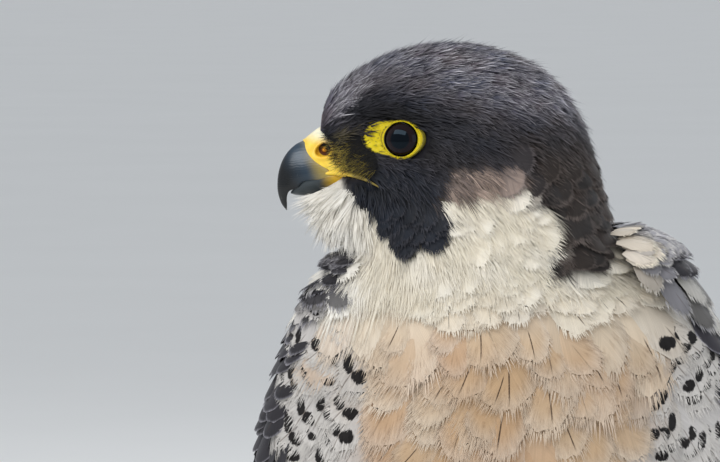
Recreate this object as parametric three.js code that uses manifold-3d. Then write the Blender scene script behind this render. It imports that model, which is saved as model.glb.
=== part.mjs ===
// An adult peregrine falcon, standing, with its breast to -Y, its left side to +X and its head
// turned to its right, so that the bill points along -X. Millimetres, +Z up.
// The origin lies on the floor under the centre of the bird's bounding box.
import * as THREE from "three";
import { mergeVertices } from "three/addons/utils/BufferGeometryUtils.js";
import Module from "manifold-3d";

const wasm = await Module();
wasm.setup();

// Driving dimensions
const COARSE = 0.02; // detail smaller than this is left out
const SEAM = 0.3; // gap between pieces that touch
const THROAT = { x: -62, z: 304 }; // the head's sections fan round this line, just off the throat
const HEAD_Y = -16; // the head's middle plane
const EYE = { x: -30.8, z: 342.4, depth: 5.8, radius: 7.9, turn: 17 };
const LID = { inner: 5.2, outer: 6.7, front: 8, back: 2, thick: 1.6, proud: 0.35 };
const NOSTRIL = { x: -56.3, z: 339, radius: 2, depth: 2.3, rim: 0.8, side: 7 };
const FOOT = { x: 27, y: 4, turn: 8 };
const HEEL = { x: 27, y: 18, z: 64 };
const VANE = 0.7; // thickness of a vane
const CLEAR = 0.35; // gap between neighbouring vanes
const PLACE = { x: 0, y: -50.8, z: 0 }; // moves the finished bird over the origin

const COLOURS = {
  slate: 0x34343a,
  hood: 0x2b2a2c,
  buff: 0xd9bd97,
  cream: 0xe6dccb,
  horn: 0x2c3440,
  yellow: 0xe6c416,
  iris: 0x150d0a,
  claw: 0x17171a,
};

const rad = THREE.MathUtils.degToRad;
const vec = (x, y, z) => new THREE.Vector3(x, y, z);
const mix = (a, b, t) => a + (b - a) * t;

// A smooth curve through evenly spaced rows of numbers, read at a place t in rows.
function along(rows, t) {
  const last = rows.length - 1;
  const i = Math.min(Math.max(Math.floor(t), 0), last - 1);
  const f = t - i;
  const row = (k) => rows[Math.min(Math.max(k, 0), last)];
  const [a, b, c, d] = [row(i - 1), row(i), row(i + 1), row(i + 2)];
  return b.map(
    (_, k) =>
      b[k] +
      0.5 * f * (c[k] - a[k] + f * (2 * a[k] - 5 * b[k] + 4 * c[k] - d[k] + f * (3 * (b[k] - c[k]) + d[k] - a[k]))),
  );
}

// Solids

function solidOf(geometry) {
  const bare = geometry.clone();
  bare.deleteAttribute("normal");
  bare.deleteAttribute("uv");
  const merged = mergeVertices(bare, 1e-4);
  const make = (triVerts) =>
    new wasm.Manifold(
      new wasm.Mesh({ numProp: 3, vertProperties: merged.attributes.position.array, triVerts }),
    );
  const made = make(new Uint32Array(merged.index.array));
  if (made.volume() > 0) return made;
  const turned = new Uint32Array(merged.index.array).reverse();
  return make(turned);
}

function meshGeometry(points, faces) {
  const geometry = new THREE.BufferGeometry().setFromPoints(points);
  geometry.setIndex(faces.flat());
  return geometry;
}

// A closed body through rings of points, with a flat fan at each end.
function loft(rings) {
  const n = rings[0].length;
  const points = rings.flat();
  const middle = (ring) => ring.reduce((sum, p) => sum.add(p), vec(0, 0, 0)).divideScalar(n);
  const first = points.push(middle(rings[0])) - 1;
  const last = points.push(middle(rings.at(-1))) - 1;
  const faces = [];
  for (let j = 0; j < n; j++) {
    const k = (j + 1) % n;
    for (let i = 0; i < rings.length - 1; i++) {
      const [a, b, c, d] = [i * n + j, i * n + k, (i + 1) * n + k, (i + 1) * n + j];
      faces.push([a, b, c], [a, c, d]);
    }
    const end = (rings.length - 1) * n;
    faces.push([first, k, j], [last, end + j, end + k]);
  }
  return solidOf(meshGeometry(points, faces));
}

const fuse = (solids) => wasm.Manifold.union(solids);

// The largest closed surface of a solid.
function largest(solid) {
  return solid.decompose().reduce((best, one) => (one.volume() > best.volume() ? one : best));
}

function geometryOf(solid) {
  const mesh = solid.getMesh();
  const positions = new Float32Array(mesh.numVert * 3);
  for (let i = 0; i < mesh.numVert; i++)
    positions.set(mesh.vertProperties.subarray(i * mesh.numProp, i * mesh.numProp + 3), i * 3);
  const geometry = new THREE.BufferGeometry();
  geometry.setAttribute("position", new THREE.BufferAttribute(positions, 3));
  geometry.setIndex(new THREE.BufferAttribute(mesh.triVerts, 1));
  geometry.computeVertexNormals();
  return geometry;
}

const bird = new THREE.Group();

function node(name, solid, colour, roughness = 0.85) {
  const material = new THREE.MeshStandardMaterial({ color: colour, roughness, metalness: 0 });
  const mesh = new THREE.Mesh(geometryOf(largest(solid).simplify(COARSE)), material);
  mesh.name = name;
  bird.add(mesh);
}

// Body: head, neck and torso as one form

// Head sections: angle above the horizontal, distance of the throat and of the crown from the
// fan's line, and half the width.
const HEAD_ROWS = [
  [84, 27, 48, 5],
  [80, 21, 54.5, 7],
  [74, 16, 62, 10],
  [67, 13, 70.5, 13.4],
  [58, 12, 80, 17.6],
  [48, 12.2, 88.5, 22.2],
  [38, 12.8, 94.8, 25.2],
  [27, 13.7, 96, 27.6],
  [14, 14, 94.5, 30],
  [0, 14, 97, 33],
];
const WIDEST = 0.5; // where a head section is widest, as a share of the way to the crown

// Torso sections: centre x, y, z, tilt, then the radius to the bird's right, left, front and back.
const TORSO_ROWS = [
  [-4, -15, 294, 4, 47, 46, 37, 35],
  [-1, -13, 282, 8, 54, 54, 43, 40],
  [0, -10, 266, 11, 60, 60, 50, 45],
  [0, -5, 243, 14, 64, 64, 56, 49],
  [0, 5, 214, 20, 64, 64, 58, 50],
  [0, 19, 185, 27, 58, 58, 53, 46],
  [0, 36, 157, 34, 47, 47, 42, 37],
  [0, 55, 131, 39, 34, 34, 28, 25],
  [0, 73, 109, 40, 24, 24, 16, 12],
  [0, 92, 86.4, 40, 15, 15, 8, 6],
];

// Each row: centre x, y, z, fan angle, tilt, radii towards throat, crown, left and right.
const BODY_ROWS = [
  ...HEAD_ROWS.map(([angle, inner, outer, half]) => {
    const reach = mix(inner, outer, WIDEST);
    return [
      THROAT.x + reach * Math.cos(rad(angle)),
      HEAD_Y,
      THROAT.z + reach * Math.sin(rad(angle)),
      angle,
      0,
      reach - inner,
      outer - reach,
      half,
      half,
    ];
  }),
  ...TORSO_ROWS.map(([x, y, z, tilt, right, left, front, back]) => [x, y, z, 0, tilt, right, left, front, back]),
];
const NECK_ROW = HEAD_ROWS.length - 1;
const VENT_ROW = BODY_ROWS.length - 3;

// Swellings and hollows of the head: place, reach and height, on both sides.
const FORMS = [
  { x: -45, side: 13, z: 350, reach: 7, high: 1.7 },
  { x: -36, side: 17, z: 353, reach: 8, high: 2.4 },
  { x: -26, side: 20, z: 353, reach: 8, high: 1.8 },
  { x: -32, side: 18, z: 340.5, reach: 8.5, high: -3 },
  { x: -46, side: 12, z: 341, reach: 6, high: -1.5 },
  { x: -12, side: 24, z: 322, reach: 16, high: 2.2 },
  { x: -32, side: 18, z: 321, reach: 12, high: 1.5 },
];

function headForms(p) {
  let high = 0;
  for (const form of FORMS) {
    const side = Math.abs(p.y - HEAD_Y) - form.side;
    const away = (p.x - form.x) ** 2 + side ** 2 + (p.z - form.z) ** 2;
    high += form.high * Math.exp(-away / form.reach ** 2);
  }
  return high;
}

// A point of the body at row t and angle round it: 0 at the throat, a quarter turn at the left of
// the head and the front of the chest, half a turn at the crown.
function bodyPoint(t, turn, grow = 0) {
  const [x, y, z, fan, tilt, inner, outer, left, right] = along(BODY_ROWS, t);
  const across = vec(Math.cos(rad(fan)), 0, Math.sin(rad(fan)));
  const sideways = vec(0, -Math.cos(rad(tilt)), -Math.sin(rad(tilt)));
  const c = -Math.cos(turn);
  const s = Math.sin(turn);
  const out = across.clone().multiplyScalar(c * ((c < 0 ? inner : outer) + grow));
  out.addScaledVector(sideways, s * ((s > 0 ? left : right) + grow));
  const p = vec(x, y, z).add(out);
  return p.addScaledVector(out.normalize(), headForms(p));
}

// How far the head's side lies from its middle plane at a place x, z.
function headSide(x, z) {
  const angle = THREE.MathUtils.radToDeg(Math.atan2(z - THROAT.z, x - THROAT.x));
  const distance = Math.hypot(z - THROAT.z, x - THROAT.x);
  let [low, high] = [0, HEAD_ROWS.length - 1];
  for (let i = 0; i < 20; i++) {
    const middle = (low + high) / 2;
    if (along(HEAD_ROWS, middle)[0] > angle) low = middle;
    else high = middle;
  }
  const [, inner, outer, half] = along(HEAD_ROWS, low);
  const reach = mix(inner, outer, WIDEST);
  const side = half * Math.sqrt(Math.max(0, 1 - ((distance - reach) / (outer - reach)) ** 2));
  return side + headForms(vec(x, HEAD_Y + side, z));
}

function bodyLoft(from, to, rows, sides, grow = 0) {
  return loft(
    Array.from({ length: rows + 1 }, (_, i) =>
      Array.from({ length: sides }, (_, j) =>
        bodyPoint(mix(from, to, i / rows), (2 * Math.PI * j) / sides, grow),
      ),
    ),
  );
}

// A thin sheet across the body at row t, which cuts it there.
function cutAt(t) {
  const [x, y, z, fan, tilt] = along(BODY_ROWS, t);
  const sheet = new THREE.BoxGeometry(400, 400, SEAM);
  sheet.rotateY(-rad(fan));
  sheet.rotateX(rad(tilt));
  sheet.translate(x, y, z);
  return solidOf(sheet);
}

const NECK_TOP = NECK_ROW - 2;
const NECK_BASE = NECK_ROW + 1.1;
const headLoft = bodyLoft(0, NECK_TOP, 14, 20);

// Bill: cere, upper and lower halves

// Sections in the head's middle plane: top x, z, bottom x, z, half the width.
const CERE_ROWS = [
  [-48, 346, -38, 328.8, 11],
  [-54, 347, -43, 329.3, 9.4],
  [-57.8, 345.8, -48, 330.3, 8],
  [-60.6, 343.8, -51.2, 330.7, 7.1],
  [-63.2, 341.8, -53.6, 331.1, 6.2],
];
const UPPER_ROWS = [
  [-63.4, 341.4, -54, 330.6, 6],
  [-65.6, 340.2, -57.5, 329.6, 5.6],
  [-67.9, 338, -60.8, 329.4, 5],
  [-69.6, 335.2, -63.2, 328.8, 4.4],
  [-70.7, 331.8, -65, 326.9, 3.6],
  [-71.1, 328.4, -67.3, 325.9, 2.8],
  [-70.9, 325.2, -68.1, 324, 1.9],
  [-69.9, 322, -68.1, 321.6, 1.1],
  [-68.4, 319.9, -68.1, 319.8, 0.3],
];
const LOWER_ROWS = [
  [-44, 329, -44, 325.8, 9],
  [-50, 331, -50, 326, 7.2],
  [-55, 331, -54.5, 325.6, 6.2],
  [-59.6, 330, -59, 324.8, 5.2],
  [-62.6, 329.4, -62.4, 324.4, 4.2],
  [-64.6, 327.8, -65, 324.5, 3],
  [-66.8, 325.7, -67, 325, 1.2],
];

// A closed bill-like form. Its sections are round at the narrow side and flat at the mouth.
function billLoft(rows, count, sides, narrow = 0.3, grow = 0) {
  const rings = Array.from({ length: count + 1 }, (_, i) => {
    const [xt, zt, xb, zb, half] = along(rows, (i / count) * (rows.length - 1));
    const end = i === 0 ? grow : i === count ? -grow : 0;
    const top = vec(xt + end, HEAD_Y, zt);
    const bottom = vec(xb + end, HEAD_Y, zb);
    const middle = top.clone().add(bottom).divideScalar(2);
    const up = top.clone().sub(middle);
    const tall = up.length();
    up.divideScalar(tall);
    const flat = narrow > 0 ? 1 : -1;
    const outline = Array.from({ length: sides }, (_, j) => {
      const turn = (2 * Math.PI * j) / sides;
      const high = flat * Math.max(-1, 1.35 * flat * Math.cos(turn) - 0.35);
      return new THREE.Vector2(half * (1 - narrow * high) * Math.sin(turn), tall * high);
    });
    const normal = (a, b) => new THREE.Vector2(a.y - b.y, b.x - a.x).normalize();
    return outline.map((p, j) => {
      const before = normal(outline[(j + sides - 1) % sides], p);
      const after = normal(p, outline[(j + 1) % sides]);
      const out = p.clone().addScaledVector(before.clone().add(after), grow / (1 + before.dot(after)));
      return middle.clone().addScaledVector(up, out.y).add(vec(0, out.x, 0));
    });
  });
  return loft(rings);
}

// Eyes, lids and nostrils, on both sides of the head

function eyeFrame(side) {
  const look = vec(-Math.sin(rad(EYE.turn)), side * Math.cos(rad(EYE.turn)), 0.06).normalize();
  const turn = new THREE.Quaternion().setFromUnitVectors(vec(0, 0, 1), look);
  const out = headSide(EYE.x, EYE.z) - EYE.depth;
  return { centre: vec(EYE.x, HEAD_Y + side * out, EYE.z), look, turn };
}

function eyeBall(side, grow = 0) {
  const { centre, turn } = eyeFrame(side);
  const ball = new THREE.SphereGeometry(EYE.radius + grow, 14, 10);
  ball.rotateX(Math.PI / 2);
  ball.applyQuaternion(turn);
  ball.translate(centre.x, centre.y, centre.z);
  return solidOf(ball);
}

// The bare ring round the eye, drawn out to a point towards the bill. Its outer edge follows the
// head's surface.
function lidRing(side, grow = 0) {
  const { centre, turn } = eyeFrame(side);
  const across = vec(1, 0, 0).applyQuaternion(turn);
  const roll = new THREE.Quaternion().setFromAxisAngle(
    vec(0, 0, 1).applyQuaternion(turn),
    across.x > 0 ? 0 : Math.PI,
  );
  const place = (r, a, up) =>
    vec(r * Math.cos(a), r * Math.sin(a), up).applyQuaternion(turn).applyQuaternion(roll).add(centre);
  const surface = (r, a) => {
    let up = 0;
    for (let i = 0; i < 4; i++) {
      const p = place(r, a, up);
      up += (headSide(p.x, p.z) - Math.abs(p.y - HEAD_Y)) / Math.cos(rad(EYE.turn));
    }
    return up;
  };
  const sides = 18;
  const ball = (r) => Math.sqrt((EYE.radius + SEAM) ** 2 - r ** 2);
  const rings = Array.from({ length: sides }, (_, i) => {
    const a = (2 * Math.PI * (i + 0.65)) / sides;
    const forward = Math.max(0, -Math.cos(a + 0.12)) ** 5;
    const backward = Math.max(0, Math.cos(a)) ** 6;
    const outer = LID.outer + LID.front * forward + LID.back * backward;
    const fall = surface(outer, a) + LID.proud;
    return [
      [LID.inner - grow, ball(LID.inner) - 2 * grow],
      [LID.inner + 0.3 - grow, ball(LID.inner) + 0.5 + grow],
      [outer + grow, fall + grow],
      [outer + grow, fall - LID.thick - grow],
      [6.5, ball(6.5) - 2 * grow],
    ].map(([r, up]) => place(r, a, up));
  });
  const faces = [];
  for (let i = 0; i < sides; i++)
    for (let j = 0; j < 5; j++) {
      const [k, l] = [(i + 1) % sides, (j + 1) % 5];
      faces.push([i * 5 + j, k * 5 + j, k * 5 + l], [i * 5 + j, k * 5 + l, i * 5 + l]);
    }
  return solidOf(meshGeometry(rings.flat(), faces));
}

// The pit of a nostril, with the small cone that stands in it.
function nostrilPit(side) {
  const reach = HEAD_Y + side * NOSTRIL.side;
  const pit = new THREE.CylinderGeometry(NOSTRIL.radius, NOSTRIL.radius * 0.8, 2 * NOSTRIL.depth, 10);
  const peg = new THREE.CylinderGeometry(0.3, 0.8, 2 * NOSTRIL.depth, 7);
  for (const piece of [pit, peg]) if (side < 0) piece.rotateX(Math.PI);
  pit.translate(NOSTRIL.x, reach, NOSTRIL.z);
  peg.translate(NOSTRIL.x, reach - side * 0.9, NOSTRIL.z);
  return solidOf(pit).subtract(solidOf(peg));
}

// The swollen rim round a nostril.
function nostrilRim(side, grow) {
  const rim = new THREE.TorusGeometry(NOSTRIL.radius + 0.5, NOSTRIL.rim + grow, 5, 10);
  rim.rotateX(Math.PI / 2);
  rim.translate(NOSTRIL.x, HEAD_Y + side * (NOSTRIL.side - 0.2), NOSTRIL.z);
  return solidOf(rim);
}

// The bare edge of the mouth behind the bill, a cord along the head's side: x, z, distance from
// the head's middle plane, and radius.
const GAPE = [
  [-53.6, 331.9, 6.9, 1.1],
  [-50, 332, 9.2, 1.3],
  [-46.6, 331.4, 13.4, 1.4],
  [-42.8, 330.1, 17.2, 1.3],
  [-39.4, 328.2, 20, 0.8],
];

function gape(side, grow = 0) {
  const rings = Array.from({ length: 7 }, (_, i) => {
    const [x, z, out, thick] = along(GAPE, (i / 6) * (GAPE.length - 1));
    const r = thick + grow;
    return Array.from({ length: 6 }, (_, j) => {
      const turn = (2 * Math.PI * j) / 6;
      return vec(x, HEAD_Y + side * (out + r * Math.cos(turn)), z + r * Math.sin(turn));
    });
  });
  return loft(rings);
}

const SIDES = { left: -1, right: 1 };
const cereForm = (grow) => billLoft(CERE_ROWS, 5, 14, 0.34, grow);
const upperForm = (grow) => billLoft(UPPER_ROWS, 12, 12, 0.3, grow);
const lowerForm = (grow) => billLoft(LOWER_ROWS, 7, 10, -0.25, grow);

// The cere with the rims of the nostrils and the corners of the mouth.
function mouthForm(grow) {
  const both = Object.values(SIDES).flatMap((side) => [nostrilRim(side, grow), gape(side, grow)]);
  return fuse([cereForm(grow), ...both]);
}

// The feathers end along this line round the bill: corners x, z of a prism taken off the head.
const BORDER = [
  [-90, 348.2],
  [-57.4, 348.2],
  [-54.4, 344.6],
  [-51.4, 340],
  [-49.6, 335.6],
  [-47, 332.6],
  [-46.8, 330],
  [-55, 324.6],
  [-90, 312],
];

function muzzle() {
  const shape = new THREE.Shape(BORDER.map(([x, z]) => new THREE.Vector2(x, z)));
  const prism = new THREE.ExtrudeGeometry(shape, { depth: 80, bevelEnabled: false });
  prism.rotateX(Math.PI / 2);
  prism.translate(0, HEAD_Y + 40, 0);
  return solidOf(prism);
}

function addHead() {
  const lids = Object.values(SIDES).map((side) => lidRing(side));
  const grownLids = Object.values(SIDES).map((side) => lidRing(side, SEAM));
  const balls = Object.values(SIDES).map((side) => eyeBall(side, SEAM));
  const skull = headLoft.subtract(fuse([...balls, ...grownLids, muzzle(), mouthForm(SEAM), lowerForm(SEAM)]));
  node("head", skull.subtract(cutAt(NECK_TOP)), COLOURS.hood);
  const upper = upperForm(0);
  const lower = lowerForm(0).subtract(upperForm(SEAM));
  const inside = fuse([upperForm(SEAM), lowerForm(SEAM), ...Object.values(SIDES).map(nostrilPit)]);
  node("cere", mouthForm(0).subtract(inside), COLOURS.yellow, 0.5);
  node("bill_upper", upper, COLOURS.horn, 0.35);
  node("bill_lower", lower, COLOURS.horn, 0.35);
  Object.entries(SIDES).forEach(([name, side], i) => {
    node("eye_" + name, eyeBall(side), COLOURS.iris, 0.08);
    node("lid_" + name, lids[i], COLOURS.yellow, 0.5);
  });
}

// Neck and torso

const torsoGrown = bodyLoft(NECK_TOP, VENT_ROW, 20, 24, SEAM);

function addTrunk() {
  const trunk = bodyLoft(NECK_TOP, VENT_ROW, 20, 24).subtract(cutAt(NECK_TOP));
  const parts = trunk.subtract(cutAt(NECK_BASE)).decompose();
  parts.sort((a, b) => b.boundingBox().max[2] - a.boundingBox().max[2]);
  node("neck", parts[0], COLOURS.cream);
  node("torso", parts[1].subtract(cutAt(VENT_ROW)), COLOURS.buff);
}

// Wings and tail

// Sections of the folded wings' outer surface: centre y, z, tilt, half the width, radius to the
// back and radius to the front.
const WING_ROWS = [
  [-14, 309, 2, 45, 33, 30],
  [-14, 303, 4, 57, 38, 36],
  [-13, 292, 6, 63, 43, 40],
  [-11, 272, 10, 71, 50, 46],
  [-5, 243, 14, 78, 55, 50],
  [5, 214, 20, 78, 57, 52],
  [19, 185, 27, 70, 54, 48],
  [36, 157, 34, 58, 45, 40],
  [55, 131, 39, 47, 34, 30],
  [73, 109, 40, 39, 24, 20],
  [92, 86.4, 40, 34, 20, 15],
  [111, 63.8, 40, 30, 17, 11],
  [130, 41.2, 40, 25, 15.5, 9],
  [149, 18.6, 40, 20, 14.5, 8],
];

const SHRUG = 4.5; // how far the left shoulder is drawn up

// A point of a wing's surface at row t. The angle runs from 0 at the middle of the back to a
// quarter turn at the side and on to the breast; lift is the height over the surface.
function wingPoint(hand, t, angle, lift = 0) {
  const [y, level, tilt, half, back, front] = along(WING_ROWS, t);
  const z = level + (hand > 0 ? SHRUG * Math.exp(-((t / 1.6) ** 2)) : 0);
  const c = Math.cos(angle);
  const deep = (c > 0 ? back : front) + lift;
  return vec(
    hand * (half + lift) * Math.sin(angle),
    y + deep * c * Math.cos(rad(tilt)),
    z + deep * c * Math.sin(rad(tilt)),
  );
}

// The arm under the feathers: a shell from the shoulder to past the wrist. Rows: place along the
// wing, the angles of its upper and lower edges, and its depth under the wing's surface.
const CORE_ROWS = [
  [0.4, 34, 74, 1.6],
  [1.1, 20, 104, 0.4],
  [2, 13, 116, 1],
  [3, 9, 121, 3.2],
  [4, 8, 119, 4.6],
  [5, 8, 112, 6],
  [5.8, 12, 104, 7.6],
  [6.4, 22, 94, 9],
];
const DEEP = 26; // how far the core's inner side reaches under the torso's surface, before the cut

function wingCore(hand) {
  const across = 9;
  const rings = Array.from({ length: 11 }, (_, i) => {
    const [t, upper, lower, taper] = along(CORE_ROWS, (i / 10) * (CORE_ROWS.length - 1));
    const outside = Array.from({ length: across }, (_, j) => {
      const edge = 1 - (2 * j) / (across - 1);
      const round = 5 * edge ** 6;
      return wingPoint(hand, t, rad(mix(upper, lower, j / (across - 1))), -taper - round);
    });
    const inside = Array.from({ length: 5 }, (_, j) =>
      wingPoint(hand, t, rad(mix(lower, upper, j / 4)), -DEEP),
    );
    return [...outside, ...inside];
  });
  return loft(rings);
}

// Half the width of a vane along its length, as shares of its widest.
const VANE_ROWS = [
  [0, 0.6],
  [0.3, 1],
  [0.66, 0.96],
  [0.9, 0.62],
  [1, 0.14],
];

// A vane over a surface. place(a, b, lift) gives the point at share a of its length and b across.
function vane(place, sunk, lift) {
  const points = [];
  for (const [a, wide] of VANE_ROWS) {
    const high = a === 0 ? sunk : lift;
    for (const b of [-wide, wide])
      for (const face of [-0.5, 0.5]) points.push(place(a, b, high + face * VANE));
  }
  const faces = [];
  const quad = (a, b, c, d) => faces.push([a, b, c], [a, c, d]);
  const rows = VANE_ROWS.length;
  for (let i = 0; i < rows - 1; i++) {
    const [p, q] = [4 * i, 4 * i + 4];
    quad(p, p + 2, q + 2, q);
    quad(p + 1, q + 1, q + 3, p + 3);
    quad(p, q, q + 1, p + 1);
    quad(p + 2, p + 3, q + 3, q + 2);
  }
  const end = 4 * (rows - 1);
  quad(0, 1, 3, 2);
  quad(end, end + 2, end + 3, end + 1);
  return solidOf(meshGeometry(points, faces));
}

// Tiers of a folded wing. Each goes from its first feather, nearest the back, to its last, nearest
// the belly: row and angle of root and tip at both, half the width, how deep the root is sunk and
// how high the vane lies over the wing's surface.
const TIERS = {
  primary: { count: 7, root: [[5.4, 44], [5, 103]], tip: [[10.4, 22], [13, 38]], half: 8.5, sunk: -9.4, lift: -5.4 },
  secondary: { count: 6, root: [[4, 12], [5, 86]], tip: [[9.3, 15], [8.4, 64]], half: 10, sunk: -7.4, lift: -4 },
  covert: { count: 7, root: [[2.7, 10], [3, 108]], tip: [[5.9, 12], [6.1, 98]], half: 11, sunk: -6, lift: -2 },
  median: { count: 7, root: [[1.1, 22], [1.2, 106]], tip: [[3.8, 12], [4, 112]], half: 11, sunk: -4.6, lift: 0 },
};
const STEEPEST = 0.3; // the most a vane leans across its width
const DEEPEST = 0.8; // the most it lies under the one before it

function tierVanes(hand, { count, root, tip, half, sunk, lift }) {
  return Array.from({ length: count }, (_, i) => {
    const share = i / (count - 1);
    const [rootRow, rootAngle] = [0, 1].map((k) => mix(root[0][k], root[1][k], share));
    const [tipRow, tipAngle] = [0, 1].map((k) => mix(tip[0][k], tip[1][k], share));
    const at = (a) => {
      const t = mix(rootRow, tipRow, a);
      const angle = rad(mix(rootAngle, tipAngle, a));
      const [, , , wide, back] = along(WING_ROWS, t);
      const radius = Math.hypot(wide * Math.cos(angle), back * Math.sin(angle));
      const spread = rad(mix(root[1][1] - root[0][1], tip[1][1] - tip[0][1], a));
      const spacing = (spread * radius) / (count - 1);
      const bow = ((half ** 2 * wide * back) / (2 * radius ** 3)) * Math.max(0, 1 - (1 - spacing / half) ** 2);
      const need = VANE + CLEAR + bow;
      const lean = Math.min(need / spacing, STEEPEST);
      return { t, angle, radius, lean, drop: Math.min(need - lean * spacing, DEEPEST) };
    };
    const place = (a, b, high) => {
      const { t, angle, radius, lean, drop } = at(a);
      return wingPoint(hand, t, angle + (b * half) / radius, high + lean * b * half - i * drop);
    };
    return vane(place, sunk, lift);
  });
}

function addWing(name, hand) {
  const vanes = Object.values(TIERS).flatMap((tier) => tierVanes(hand, tier));
  const wing = fuse([wingCore(hand), ...vanes]).subtract(torsoGrown);
  node("wing_" + name, wing, COLOURS.slate);
}

// Tail: a core of coverts with the steering feathers in it, the middle pair on top.
const TAIL = { feathers: 12, root: VENT_ROW + 0.35, length: 164, spread: [2.2, 3.1], half: 11.5 };

function tailPoint(out, x, lift) {
  const [, y, z, , tilt] = along(BODY_ROWS, VENT_ROW);
  const a = rad(tilt + 1);
  return vec(x, y + out * Math.sin(a) + lift * Math.cos(a), z - out * Math.cos(a) + lift * Math.sin(a));
}

function addTail() {
  const core = bodyLoft(VENT_ROW, VENT_ROW + 2, 6, 16).subtract(cutAt(VENT_ROW));
  const middle = (TAIL.feathers - 1) / 2;
  const steering = Array.from({ length: TAIL.feathers }, (_, i) => {
    const at = i - middle;
    const rank = Math.abs(at) - 0.5;
    const long = TAIL.length - 0.35 * rank ** 2;
    const place = (a, b, high) => {
      const x = at * mix(...TAIL.spread, a) + b * TAIL.half * mix(0.7, 1, a);
      return tailPoint(8 + a * (long - 8), x, 0.6 - (VANE + CLEAR) * rank + high);
    };
    return vane(place, 0, 0);
  });
  const coverts = [-1, 1].flatMap((face) =>
    Array.from({ length: 4 }, (_, i) => {
      const at = i - 1.5;
      const place = (a, b, high) =>
        tailPoint(10 + a * (62 - 4 * Math.abs(at)), at * mix(5, 5.6, a) + b * 8, face * (5.4 - 2 * a) - 1.4 + high);
      return vane(place, 0, 0);
    }),
  );
  node("tail", fuse([core, ...steering, ...coverts]), COLOURS.slate);
}

// Legs

// A round limb through rows of x, y, z, half width across and half depth front to back.
function limb(rows, count, sides, grow = 0) {
  return loft(
    Array.from({ length: count + 1 }, (_, i) => {
      const [x, y, z, across, deep] = along(rows, (i / count) * (rows.length - 1));
      return Array.from({ length: sides }, (_, j) => {
        const turn = (2 * Math.PI * j) / sides;
        return vec(x + (across + grow) * Math.cos(turn), y + (deep + grow) * Math.sin(turn), z);
      });
    }),
  );
}

const thighRows = (hand) => [
  [hand * 29, 12, 178, 17, 22],
  [hand * 32, 6, 150, 21, 27],
  [hand * 32, 4, 122, 20, 25],
  [hand * 30, 9, 96, 15.5, 18],
  [hand * 28, 15, 74, 9.5, 10.5],
  [hand * HEEL.x, 18, 60, 6, 6.4],
];
const shankRows = (hand) => [
  [hand * HEEL.x, HEEL.y, HEEL.z + 5, 4.4, 4.8],
  [hand * HEEL.x, HEEL.y - 0.5, HEEL.z - 6, 4.9, 5.2],
  [hand * HEEL.x, HEEL.y - 5, 42, 4, 4.2],
  [hand * HEEL.x, FOOT.y + 4, 24, 4, 4.2],
  [hand * FOOT.x, FOOT.y + 1, 13.2, 5, 5],
];

const BALL = { y: -2.5, z: 4.4, radii: [6.2, 6.6, 5.6] }; // the pad under the toes' meeting place
const CLAW = { lean: rad(28), sweep: rad(88), thick: 2.9, flat: 0.92 };

// Toes: turn from straight ahead (outwards is positive), length, radius at root and tip, claw.
const TOES = {
  inner: { turn: -26, length: 33, thick: [4.7, 4], claw: 17 },
  middle: { turn: 4, length: 51, thick: [4.6, 3.6], claw: 14 },
  outer: { turn: 34, length: 40, thick: [4.2, 3.4], claw: 12.5 },
  hind: { turn: 172, length: 23, thick: [4.7, 4.1], claw: 18 },
};

// The way a toe points, the way across it, and the middle and direction of its claw's root.
function toeFrame(hand, { turn, length, thick }) {
  const angle = rad(turn + FOOT.turn) * hand;
  const ahead = vec(Math.sin(angle), -Math.cos(angle), 0);
  const side = vec(-ahead.y, ahead.x, 0);
  const root = vec(hand * FOOT.x, FOOT.y, thick[1] + 0.4).addScaledVector(ahead, length - 1.6);
  const rise = ahead.clone().multiplyScalar(Math.cos(CLAW.lean)).add(vec(0, 0, Math.sin(CLAW.lean)));
  return { ahead, side, root, rise };
}

// A toe: its joints swell, with pads under them, and it is cut off square to its claw's root.
function toe(hand, kind) {
  const { ahead, side, root, rise } = toeFrame(hand, kind);
  const count = 8;
  const whole = loft(
    Array.from({ length: count + 1 }, (_, i) => {
      const a = i / count;
      const swell = 1 + 0.13 * Math.cos(a * Math.PI * 6);
      const round = Math.sqrt(1 - Math.max(0, (a - 0.86) / 0.155) ** 2);
      const r = mix(...kind.thick, a) * swell * Math.max(round, 0.3);
      const high = 1.05 * mix(...kind.thick, a) + 0.1 + 2.4 * Math.max(0, 1 - a / 0.3) ** 2;
      const p = vec(hand * FOOT.x, FOOT.y, high).addScaledVector(ahead, a * kind.length);
      return Array.from({ length: 8 }, (_, j) => {
        const b = (2 * Math.PI * j) / 8;
        return p.clone().addScaledVector(side, r * Math.cos(b)).add(vec(0, 0, r * 1.05 * Math.sin(b)));
      });
    }),
  );
  return whole.trimByPlane([-rise.x, -rise.y, -rise.z], SEAM - root.dot(rise));
}

// A claw: a cone bent through an arc, from the toe's end down to the floor.
function claw(hand, kind) {
  const { ahead, side, root } = toeFrame(hand, kind);
  const arc = kind.claw / CLAW.sweep;
  return loft(
    Array.from({ length: 8 }, (_, i) => {
      const a = i / 7;
      const b = CLAW.lean - CLAW.sweep * a;
      const p = root
        .clone()
        .addScaledVector(ahead, arc * (Math.sin(CLAW.lean) - Math.sin(b)))
        .add(vec(0, 0, arc * (Math.cos(b) - Math.cos(CLAW.lean)) * CLAW.flat));
      const outward = ahead.clone().multiplyScalar(-Math.sin(b)).add(vec(0, 0, Math.cos(b)));
      const r = mix(CLAW.thick, 0.25, a ** 0.85);
      return Array.from({ length: 8 }, (_, j) => {
        const c = (2 * Math.PI * j) / 8;
        return p.clone().addScaledVector(side, 0.75 * r * Math.cos(c)).addScaledVector(outward, r * Math.sin(c));
      });
    }),
  );
}

// All that lies above a level floor.
const aboveFloor = new THREE.BoxGeometry(300, 300, 200);
aboveFloor.translate(0, 0, 100);

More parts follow.
